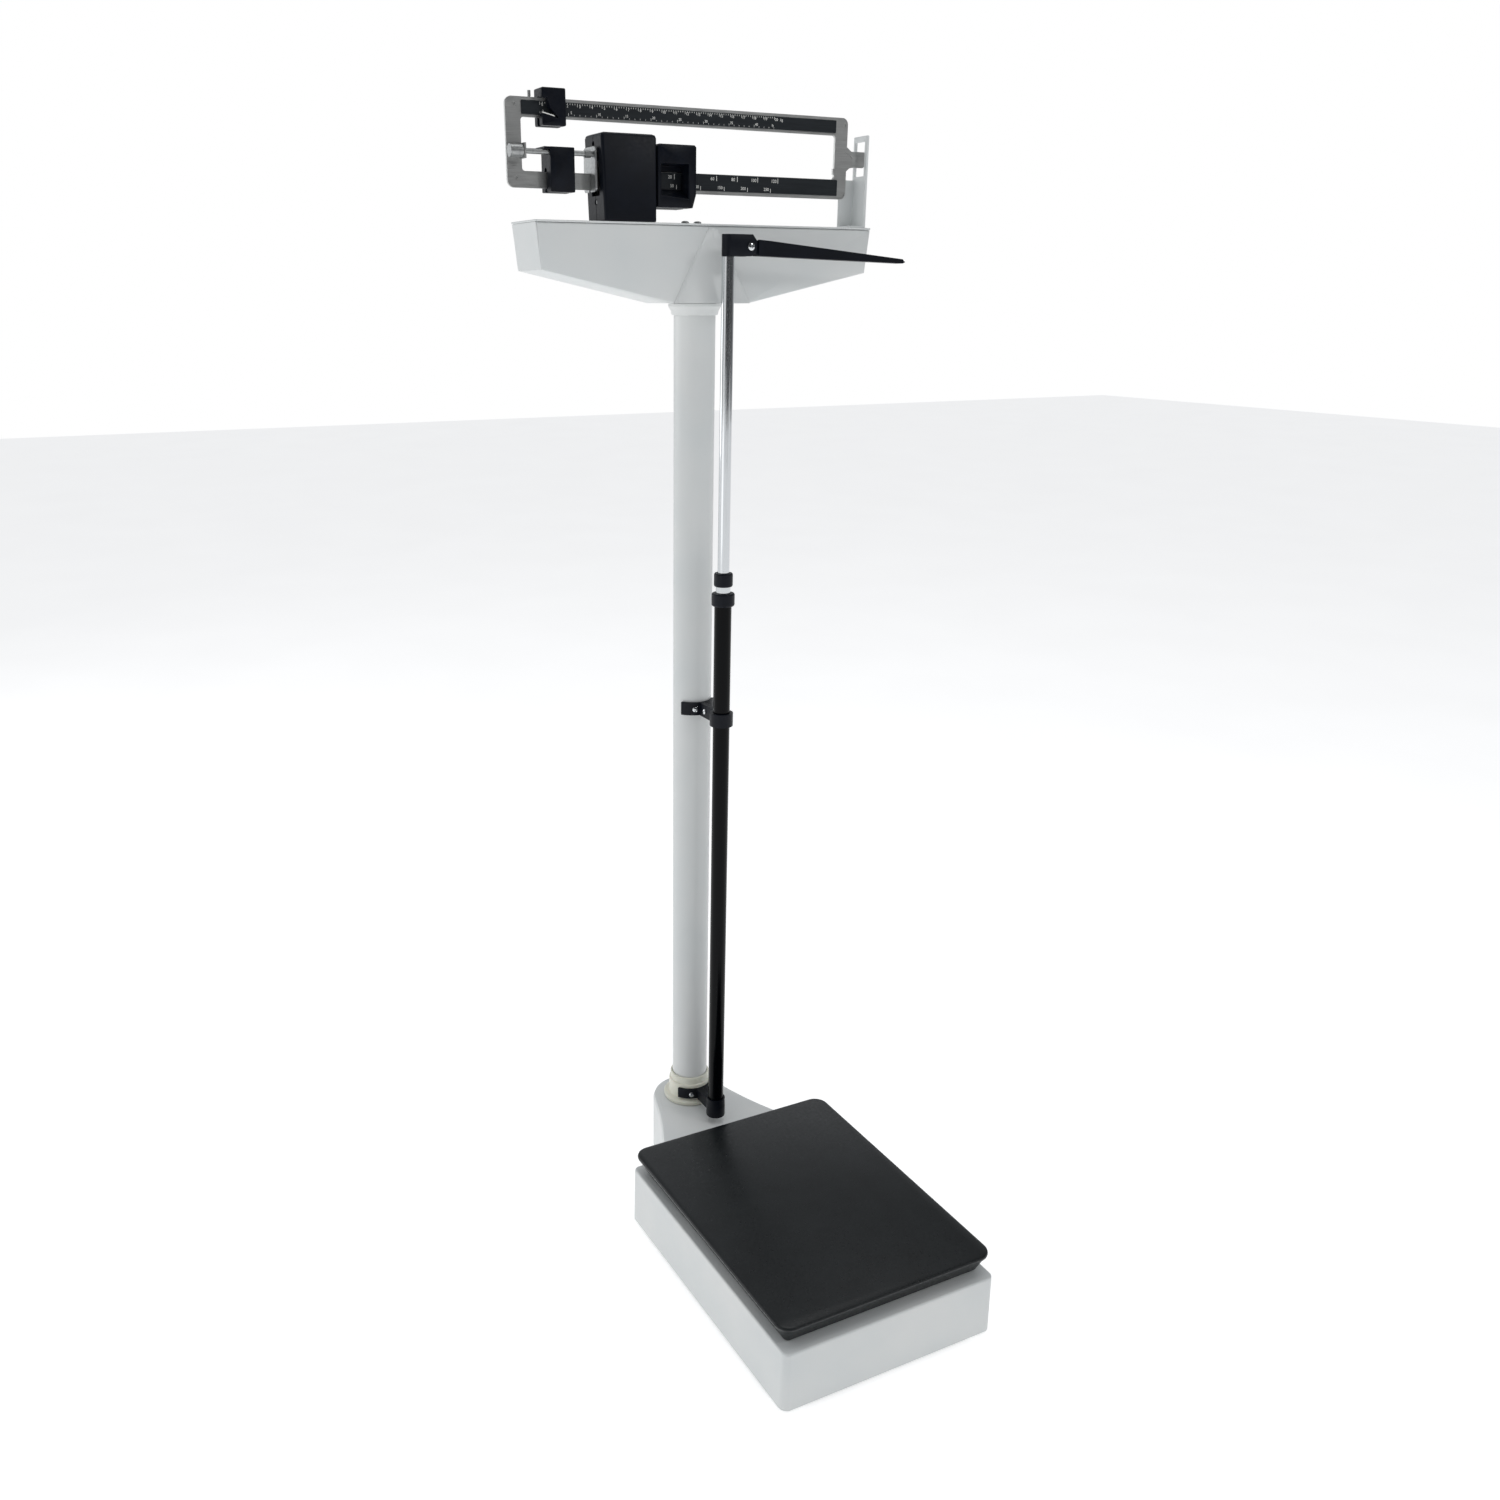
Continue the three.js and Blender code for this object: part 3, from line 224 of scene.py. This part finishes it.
# %% Metals
def brushed_stainless():
    """Satin stainless: scratches along the beam, drawn at 0.35 mm so that they show."""
    material, shader = begin("brushed_stainless", "#bcbdbc", 0.36, 1.0)
    scratches = grain(material, 0.35, 5.0, (0.015, 1, 1))
    spread(material, shader, "Base Color", scratches, "#b0b1b0", "#c8c9c8")
    spread(material, shader, "Roughness", scratches, 0.3, 0.46)
    bump(material, shader, scratches, 0.006)
    return material


def chrome_plate():
    """Bright chrome, with the faint lengthwise streaks of a rod that slides in its clamps."""
    material, shader = begin("chrome_plate", "#d7dadc", 0.09, 1.0)
    spread(material, shader, "Roughness", grain(material, 0.8, 3.0, (1, 1, 0.02)), 0.06, 0.16)
    return material


def zinc_plated_steel():
    """Dull zinc plate with a slight mottle."""
    material, shader = begin("zinc_plated_steel", "#9fa1a1", 0.38, 1.0)
    spread(material, shader, "Base Color", grain(material, 2.5, 3.0), "#939596", "#abadac")
    spread(material, shader, "Roughness", grain(material, 1.5), 0.32, 0.48)
    return material


def painted_casting():
    """Grey paint over sand-cast iron, whose sand grains are about half a millimetre."""
    material, shader = begin("painted_casting", "#6c6e70", 0.6, IOR=1.5)
    spread(material, shader, "Base Color", grain(material, 8, 4.0), "#626466", "#747678")
    bump(material, shader, grain(material, 0.6, 4.0), 0.15)
    return material


# %% [markdown]
# ## Scales and marks
# The two scales are strips of **black anodised aluminium**. The dye sits in the oxide layer, so the
# strip looks dark with a dull metallic sheen. Numbers and lines are printed in white ink, and the
# height rod's are etched and filled with black.

# %% Strips and inks
def black_anodised_strip():
    """Dyed oxide on aluminium: nearly black, with a soft sheen along the rolling direction."""
    material, shader = begin("black_anodised_strip", "#1a1f24", 0.42, 0.35)
    rolled = grain(material, 0.5, 3.0, (0.02, 1, 1))
    spread(material, shader, "Base Color", rolled, "#161b20", "#20262b")
    spread(material, shader, "Roughness", rolled, 0.36, 0.5)
    return material


def white_ink():
    """Screen-printed ink, a little uneven in thickness."""
    material, shader = begin("white_ink", "#e8e8e4", 0.5, IOR=1.5)
    spread(material, shader, "Base Color", grain(material, 0.6), "#d9d9d5", "#f2f2ee")
    return material


def etched_black():
    """Black filler in etched numbers: matt and slightly worn to grey."""
    material, shader = begin("etched_black", "#1d1e20", 0.6, IOR=1.5)
    spread(material, shader, "Base Color", grain(material, 0.5), "#161719", "#3a3b3d")
    return material


finishes = {
    "white_paint": white_powder_coat(), "cream_plastic": cream_abs(), "black_plastic": black_abs(),
    "black_weight": black_weight_enamel(), "black_enamel": platform_enamel(),
    "black_tube": black_tube_paint(), "rubber": foot_rubber(), "stainless": brushed_stainless(),
    "chrome": chrome_plate(), "steel": zinc_plated_steel(), "cast_iron": painted_casting(),
    "label_black": black_anodised_strip(), "mark_white": white_ink(),
}
rod_ink = etched_black()
slot_of = {part["node"]: part["material_slot"] for part in frame["record"]["subparts"]}
print(f"{len(finishes) + 1} finishes for {len(slot_of)} nodes")

# %% [markdown]
# ## Rounded edges
# No real edge is perfectly sharp: bent sheet has a radius of about 1 mm, a moulding about half that,
# and even a blanked strip is broken by a tenth. Those small rounds catch the light and make a model
# look real. The solid of each piece is copied, its flat triangles are merged into whole faces, and a
# bevel modifier rounds only the edges that turn by more than 30 degrees. The solid stays for physics.

# %% A finished copy of a solid
SHARP_TURN = math.radians(30)
FLAT_TURN = math.radians(0.6)
SAME_CORNER = 0.002 * MM


def merged_mesh(node):
    """The solid's mesh as a BMesh with shared corners, and with its flat areas merged into single faces."""
    shape = bmesh.new()
    shape.from_mesh(nodes[node].data)
    bmesh.ops.remove_doubles(shape, verts=shape.verts, dist=SAME_CORNER)
    bmesh.ops.dissolve_limit(shape, angle_limit=FLAT_TURN, verts=shape.verts, edges=shape.edges)
    return shape


def piece_from(shape, name, body, slot, material=None):
    """Turns a BMesh into a named piece that rides on a body and takes its finish from a slot."""
    mesh = bpy.data.meshes.new(name)
    bmesh.ops.recalc_face_normals(shape, faces=shape.faces)
    shape.to_mesh(mesh)
    shape.free()
    mesh.polygons.foreach_set("use_smooth", [True] * len(mesh.polygons))
    mesh.set_sharp_from_angle(angle=SHARP_TURN)
    mesh.materials.append(material or finishes[slot])
    piece = bpy.data.objects.new(name, mesh)
    bpy.context.scene.collection.objects.link(piece)
    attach(piece, body)
    return piece


def round_edges(piece, edge):
    """Rounds every edge of more than 30 degrees to a radius of edge millimetres."""
    bevel = piece.modifiers.new("rounded edges", "BEVEL")
    bevel.width = edge * MM
    bevel.segments = 3
    bevel.limit_method = "ANGLE"
    bevel.angle_limit = SHARP_TURN
    bevel.harden_normals = True
    return piece


def finished(node, edge):
    """A copy of a node with rounded edges and its real finish, which is shown in place of the solid."""
    piece = piece_from(merged_mesh(node), node + "_finished", nodes[node]["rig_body"], slot_of[node])
    round_edges(piece, edge)
    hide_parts(node)
    return piece


# %% [markdown]
# Pieces that show get a finished copy, grouped by the radius their material would have. The levers,
# the links, the pivots and the platform's frame are hidden, so their solids only get a finish.

# %% Finish the pieces
EDGE_BY_NODES = {
    1.0: "base_shell",
    0.8: "housing_shell column_ring large_poise platform_cover",
    0.6: "cover_front cover_rear small_poise zero_block head_clip column_collar trig_loop",
    0.4: "middle_bracket foot_bracket outer_tube_collar middle_tube_collar head_arm housing_lid"
         " foot_front_left foot_front_right foot_rear_left foot_rear_right",
    0.25: "beam_frame adjuster_bracket adjuster_screw outer_tube middle_tube inner_rod stop_pin",
    0.12: "upper_label lower_label large_poise_pointer small_poise_pointer column_tube",
}
pieces = {node: finished(node, edge) for edge, names in EDGE_BY_NODES.items() for node in names.split()}
for node, solid in nodes.items():
    solid.material_slots[0].material = finishes[slot_of[node]]
print(f"{len(pieces)} pieces have finished copies")

# %% [markdown]
# ## Screws with a cross recess
# Each screw that shows is a pan head turned to a domed profile, with a cross cut into it. A lathe is
# the natural tool for the head, so its profile is swept round in steps, and then two tapered bars are
# taken away from it to make the cross.

# %% Lathe and cutter
def turned(profile, steps=32):
    """A closed BMesh made by sweeping (radius, height) points in millimetres round the Z axis."""
    shape = bmesh.new()
    rings = []
    for radius, height in profile:
        turns = steps if radius > 0 else 1
        angles = [math.tau * i / turns for i in range(turns)]
        rings.append([shape.verts.new((radius * math.cos(a) * MM, radius * math.sin(a) * MM, height * MM))
                      for a in angles])
    for low, high in zip(rings, rings[1:]):
        for i in range(steps):
            corners = [low[i % len(low)], low[(i + 1) % len(low)]]
            corners += [high[(i + 1) % len(high)], high[i % len(high)]]
            unique = list(dict.fromkeys(corners))
            if len(unique) > 2:
                shape.faces.new(unique)
    return shape


def bar_shape(size, middle, taper=1.0):
    """A box of size (x, y, z) millimetres about a middle point, narrower at its lower end by taper."""
    shape = bmesh.new()
    bmesh.ops.create_cube(shape, size=1)
    for vert in shape.verts:
        narrow = taper if vert.co.z < 0 else 1
        scale = (size[0] * narrow, size[1] * narrow, size[2])
        vert.co = Vector([(vert.co[i] * scale[i] + middle[i]) * MM for i in range(3)])
    return shape


def plain_object(shape):
    """A loose object made from a BMesh, for use as a cutter."""
    mesh = bpy.data.meshes.new("cutter")
    shape.to_mesh(mesh)
    shape.free()
    made = bpy.data.objects.new("cutter", mesh)
    bpy.context.scene.collection.objects.link(made)
    return made


def cut_away(shape, cutters):
    """The BMesh that is left when each cutter's BMesh is taken away from the first one."""
    body = plain_object(shape)
    for cutter in [plain_object(c) for c in cutters]:
        step = body.modifiers.new("cut", "BOOLEAN")
        step.object = cutter
        step.operation = "DIFFERENCE"
    bpy.context.view_layer.update()
    result = bmesh.new()
    evaluated = body.evaluated_get(bpy.context.evaluated_depsgraph_get())
    result.from_mesh(evaluated.to_mesh())
    for step in body.modifiers:
        bpy.data.objects.remove(step.object)
    bpy.data.objects.remove(body)
    return result


# %% [markdown]
# The head's radius comes from the solid screw that it replaces. Its axis points out of the surface:
# up for the lid, to the left for the cover and the clamp's bolt, to the front for the head clip, and
# away from the column's middle for the two brackets.

# %% Make the screws
UP, LEFT, FRONT = (0, 0, 1), (-1, 0, 0), (0, -1, 0)
SHANK_PART = 0.55
LARGEST_SHANK = 2.0
RIM_PART = 0.35
DOME_PART = 0.65
DOME_ANGLES = (20, 40, 60, 78)
CROSS_TURN = math.radians(25)


def screw(node, outwards, head_height):
    """A pan-head screw in place of a CAD screw; outwards is the way its head faces."""
    outwards = Vector(outwards).normalized()
    low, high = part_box(node)
    middle = (low + high) / 2
    along = [(vert.co - middle).dot(outwards) / MM for vert in nodes[node].data.vertices]
    across = [((vert.co - middle).cross(outwards)).length / MM for vert in nodes[node].data.vertices]
    radius, top, bottom = max(across), max(along), min(along)
    under = top - head_height
    shank = min(radius * SHANK_PART, LARGEST_SHANK)
    rim = under + head_height * RIM_PART
    profile = [(0, bottom), (shank, bottom), (shank, under), (radius, under), (radius, rim)]
    profile += [(radius * math.cos(a), under + head_height * (RIM_PART + DOME_PART * math.sin(a)))
                for a in (math.radians(d) for d in DOME_ANGLES)]
    profile.append((0, top))
    arm, width, depth = radius * 1.15, radius * 0.3, head_height * 1.1
    cross = [bar_shape(size, (0, 0, top), 0.6) for size in ((arm, width, depth), (width, arm, depth))]
    shape = cut_away(turned(profile), cross)
    turn = Vector((0, 0, 1)).rotation_difference(outwards).to_matrix().to_4x4()
    spin = Matrix.Rotation(CROSS_TURN, 4, "Z")
    shape.transform(Matrix.Translation(middle) @ turn @ spin)
    piece = piece_from(shape, node + "_finished", nodes[node]["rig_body"], slot_of[node])
    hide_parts(node)
    return piece


def from_column(node):
    """The level direction from the column's axis to a node."""
    axis = sum(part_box("column_tube"), Vector()) / 2
    away = sum(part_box(node), Vector()) / 2 - axis
    return away.x, away.y, 0


screws = [
    screw("lid_screw_left", UP, head_height=2.6),
    screw("lid_screw_right", UP, head_height=2.6),
    screw("cover_screw_upper", LEFT, head_height=1.2),
    screw("cover_screw_lower", LEFT, head_height=1.2),
    screw("middle_bracket_screw", from_column("middle_bracket_screw"), head_height=2.4),
    screw("foot_bracket_screw", from_column("foot_bracket_screw"), head_height=2.4),
    screw("clamp_bolt", LEFT, head_height=2.0),
    screw("clip_screw", FRONT, head_height=2.0),
]
print(f"{len(screws)} screws with a cross recess")

# %% [markdown]
# ## Printed scales
# Text is a curve object in Blender. It is turned into a mesh, stood upright and laid on its strip,
# raised by a few hundredths of a millimetre as printed ink is. Lines are thin bars. All the marks of
# one scale are joined into one piece, so that it moves with the beam.

# %% Ink helpers
INK = 0.06
INK_SHOWS = 0.4
SIZE_BY_HEIGHT = 1.35


def lettering(words, height, middle, upright=True):
    """A BMesh of some characters of a height in millimetres about a point in metres, facing -Y."""
    text = bpy.data.curves.new("text", "FONT")
    text.body = words
    text.size = height * MM * SIZE_BY_HEIGHT
    text.align_x = "CENTER"
    text.align_y = "CENTER"
    text.extrude = INK * MM / 2
    text.resolution_u = 3
    made = bpy.data.objects.new("text", text)
    bpy.context.scene.collection.objects.link(made)
    bpy.context.view_layer.update()
    shape = bmesh.new()
    shape.from_mesh(made.evaluated_get(bpy.context.evaluated_depsgraph_get()).to_mesh())
    bpy.data.objects.remove(made)
    bmesh.ops.remove_doubles(shape, verts=shape.verts, dist=0.001 * MM)
    lean = Matrix.Identity(4) if upright else Matrix.Rotation(math.pi / 2, 4, "Y")
    shape.transform(Matrix.Translation(middle) @ lean @ Matrix.Rotation(math.pi / 2, 4, "X"))
    return shape


def line(middle, width, height):
    """A thin printed bar about a point in metres, with its width and height in millimetres."""
    shape = bar_shape((width, INK, height), (0, 0, 0))
    shape.transform(Matrix.Translation(middle))
    return shape


def printed(name, shapes, body, slot, material=None):
    """Joins marks into one piece on a body."""
    whole = bmesh.new()
    for shape in shapes:
        mesh = bpy.data.meshes.new("mark")
        shape.to_mesh(mesh)
        shape.free()
        whole.from_mesh(mesh)
        bpy.data.meshes.remove(mesh)
    return piece_from(whole, name, body, slot, material)


# %% [markdown]
# The upper scale runs from 0 to 20 kg, 13.57 mm to a kilogram, and 0 is under the left end of the
# small weight's pointer. Below it are pounds. The lower scale has a place for the large weight at every 20 kg,
# 25.5 mm apart, and a place at every 50 pounds along its lower edge.

# %% Print the beam's scales
KILO = 13.57
POUND = KILO * 0.4536
EDGE_GAP = 0.6
KILO_TEXT, POUND_TEXT = 2.8, 2.6
KILO_WIDTH, POUND_WIDTH = 0.4, 0.35
KILO_ASIDE, POUND_ASIDE = 2.6, 3.0

label_low, label_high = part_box("upper_label")
ink_y = label_low.y - INK * MM * INK_SHOWS
strip_low, strip_high = label_low.z, label_high.z
kilo_row = strip_high - 3.2 * MM
pound_row = strip_low + 3.4 * MM
zero_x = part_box("small_poise")[0].x + 1.2 * MM
upper_marks = []
for tenth in range(0, 201, 2):
    x = zero_x + tenth * KILO / 10 * MM
    long_line = tenth % 10 == 0
    size = 3.0 if long_line else 1.5
    upper_marks.append(line(Vector((x, ink_y, strip_high - (EDGE_GAP + size / 2) * MM)), KILO_WIDTH, size))
    if long_line:
        spot = Vector((x + KILO_ASIDE * MM, ink_y, kilo_row))
        upper_marks.append(lettering(str(tenth // 10), KILO_TEXT, spot))
for pound in range(0, 45):
    x = zero_x + pound * POUND * MM
    long_line = pound % 5 == 0
    size = 2.4 if long_line else 1.3
    upper_marks.append(line(Vector((x, ink_y, strip_low + (EDGE_GAP + size / 2) * MM)), POUND_WIDTH, size))
    if long_line:
        spot = Vector((x + POUND_ASIDE * MM, ink_y, pound_row))
        upper_marks.append(lettering(str(pound), POUND_TEXT, spot))
end_x = zero_x + 20 * KILO * MM
upper_marks.append(lettering("kg", KILO_TEXT, Vector((end_x + 9 * MM, ink_y, kilo_row))))
upper_marks.append(lettering("lb", POUND_TEXT, Vector((end_x - 2 * MM, ink_y, pound_row))))
printed("upper_scale_marks", upper_marks, "beam", "mark_white")

STOP_PITCH = 25.5
STOP_ZERO = -66.7
FIFTY_POUNDS_BY_TWENTY_KILOS = 1.134
STOP_LINE = 0.6

lower_low, lower_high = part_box("lower_label")
strip_low, strip_high = lower_low.z, lower_high.z
low_y = lower_low.y - INK * MM * INK_SHOWS
lower_marks = []
for stop in range(1, 7):
    x = (STOP_ZERO + stop * STOP_PITCH) * MM
    if x > lower_low.x:
        spot = Vector((x - 0.5 * MM, low_y, strip_high - 4.2 * MM))
        lower_marks.append(lettering(str(stop * 20), 3.4, spot))
        lower_marks.append(line(Vector((x + 4.6 * MM, low_y, strip_high - 3.6 * MM)), STOP_LINE, 5))
    x = (STOP_ZERO + stop * STOP_PITCH * FIFTY_POUNDS_BY_TWENTY_KILOS) * MM
    if x > lower_low.x + 3 * MM and stop < 6:
        spot = Vector((x - 1.5 * MM, low_y, strip_low + 3.6 * MM))
        lower_marks.append(lettering(str(stop * 50), 3.2, spot))
        lower_marks.append(line(Vector((x + 3.8 * MM, low_y, strip_low + 2.6 * MM)), STOP_LINE, 4))
printed("lower_scale_marks", lower_marks, "beam", "mark_white")
print(f"{len(upper_marks)} marks on the upper scale and {len(lower_marks)} on the lower one")

# %% [markdown]
# ## The height rod's marks
# The rod has a short line at each centimetre, a longer one at every fifth, and a number turned on its
# side at every 97.5 mm. The numbers' values and places are guesses: they are nearer together than
# every tenth line, so each one sits 2.5 mm further from its line than the one below it. The marks
# stand nearer to the rod's axis than its surface does, so they are inside it and don't show.

# %% Mark the rod
MARK_RADIUS = 4.5
FIRST_MARK = 0.769
LINE_PITCH = 0.01
LINE_COUNT = 33
NUMBER_PITCH = 0.0975
NUMBER_COUNT = 4
FIRST_NUMBER = 110
PLAIN_TOP = 0.03

rod_low, rod_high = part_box("inner_rod")
rod_axis = Vector(((rod_low.x + rod_high.x) / 2, (rod_low.y + rod_high.y) / 2, 0))
mark_y = rod_axis.y - (MARK_RADIUS + 0.02) * MM
rod_marks = []
for step in range(0, LINE_COUNT):
    z = FIRST_MARK + step * LINE_PITCH
    if z > rod_high.z - PLAIN_TOP:
        break
    wide = 2.6 if step % 5 == 0 else 1.4
    rod_marks.append(line(Vector((rod_axis.x, mark_y + 0.05 * MM, z)), wide, 0.3))
for index in range(NUMBER_COUNT):
    spot = Vector((rod_axis.x + 1.2 * MM, mark_y, FIRST_MARK + index * NUMBER_PITCH))
    rod_marks.append(lettering(str(FIRST_NUMBER + index * 10), 3.0, spot, False))
printed("rod_marks", rod_marks, "inner_rod", "chrome", rod_ink)
print(f"{len(rod_marks)} marks on the rod")

# %% [markdown]
# ## Stage, light and camera
# The floor and the backdrop are plain white. The strongest lamp hangs above. Two large ones at the
# left, one towards the front and one behind, turn the left faces of the black pieces grey while their
# fronts stay dark. A smaller one at the upper right throws the arm's soft shadow to the left.

# %% Floor and surroundings
floor_shape = bmesh.new()
bmesh.ops.create_grid(floor_shape, x_segments=1, y_segments=1, size=12)
floor_mesh = bpy.data.meshes.new("floor")
floor_shape.to_mesh(floor_mesh)
floor_shape.free()
floor = bpy.data.objects.new("floor", floor_mesh)
bpy.context.scene.collection.objects.link(floor)
white_floor, floor_shader = begin("white_floor", "#f4f4f4", 0.9, Specular_IOR_Level=0.1)
floor_shader.inputs["Emission Color"].default_value = (1, 1, 1, 1)
floor_shader.inputs["Emission Strength"].default_value = 0.5
spread(white_floor, floor_shader, "Base Color", grain(white_floor, 400), "#f2f2f2", "#f6f6f6")
floor_mesh.materials.append(white_floor)

world = bpy.data.worlds.new("studio")
bpy.context.scene.world = world
world.use_nodes = True
ray = add(world, "LightPath")
seen = world.node_tree.nodes["Background"]
seen.inputs["Color"].default_value = (1, 1, 1, 1)
seen.inputs["Strength"].default_value = 1.0
around = add(world, "Background", {"Color": (0.95, 0.97, 1, 1), "Strength": 0.42})
way = add(world, "SeparateXYZ", {}, {0: add(world, "TexCoord").outputs["Generated"]})
behind = add(world, "MapRange", {"From Min": -0.5, "From Max": 0.8, "To Min": 0.07, "To Max": 0.62},
             {"Value": way.outputs["Y"]})
room = add(world, "Background", {"Color": (0.95, 0.97, 1, 1)}, {"Strength": behind.outputs["Result"]})
lit = add(world, "MixShader", {}, {0: ray.outputs["Is Glossy Ray"], 1: around.outputs[0], 2: room.outputs[0]})
mixed = add(world, "MixShader", {}, {0: ray.outputs["Is Camera Ray"], 1: lit.outputs[0], 2: seen.outputs[0]})
world.node_tree.links.new(mixed.outputs[0], world.node_tree.nodes["World Output"].inputs["Surface"])
bpy.context.scene.view_settings.view_transform = "Standard"
print("floor and surroundings are white")


# %% Lamps
def lamp(name, place, target, size, power):
    """A square soft lamp at a place, aimed at a target, both in metres."""
    light = bpy.data.lights.new(name, "AREA")
    light.size = size
    light.energy = power
    made = bpy.data.objects.new(name, light)
    made.location = place
    made.rotation_euler = (Vector(target) - Vector(place)).to_track_quat("-Z", "Y").to_euler()
    bpy.context.scene.collection.objects.link(made)
    return made


aim = (0, 0, 0.7)
lamps = [
    lamp("left_window", (-2.6, -0.6, 1.2), aim, 1.8, 6),
    lamp("back_left_window", (-2.2, 2.4, 1.5), (0, 0.2, 1.1), 1.8, 14),
    lamp("overhead", (0.2, 0.2, 3.4), aim, 2.2, 24),
    lamp("right_key", (1.5, -2.0, 2.6), (0, 0, 1.0), 0.5, 9),
]
print(f"{len(lamps)} soft lamps")

# %% [markdown]
# The camera stands in front and to the left, at about the height of a child's head, and looks down by
# 21 degrees. Its lens is 32 mm on a full frame. The frame is shifted a little up and to the right.

# %% Camera
LOOK_DOWN = 21.096
TURN_RIGHT = 26.867

camera = bpy.data.cameras.new("camera")
camera.lens = 32.3566
camera.sensor_width = 36
camera.shift_x = 0.05476
camera.shift_y = 0.04608
viewer = bpy.data.objects.new("camera", camera)
viewer.location = (-0.7533, -1.2045, 1.1144)
viewer.rotation_euler = (math.radians(90 - LOOK_DOWN), 0, math.radians(-TURN_RIGHT))
bpy.context.scene.collection.objects.link(viewer)
bpy.context.scene.camera = viewer
print("camera at", tuple(round(v, 3) for v in viewer.location))
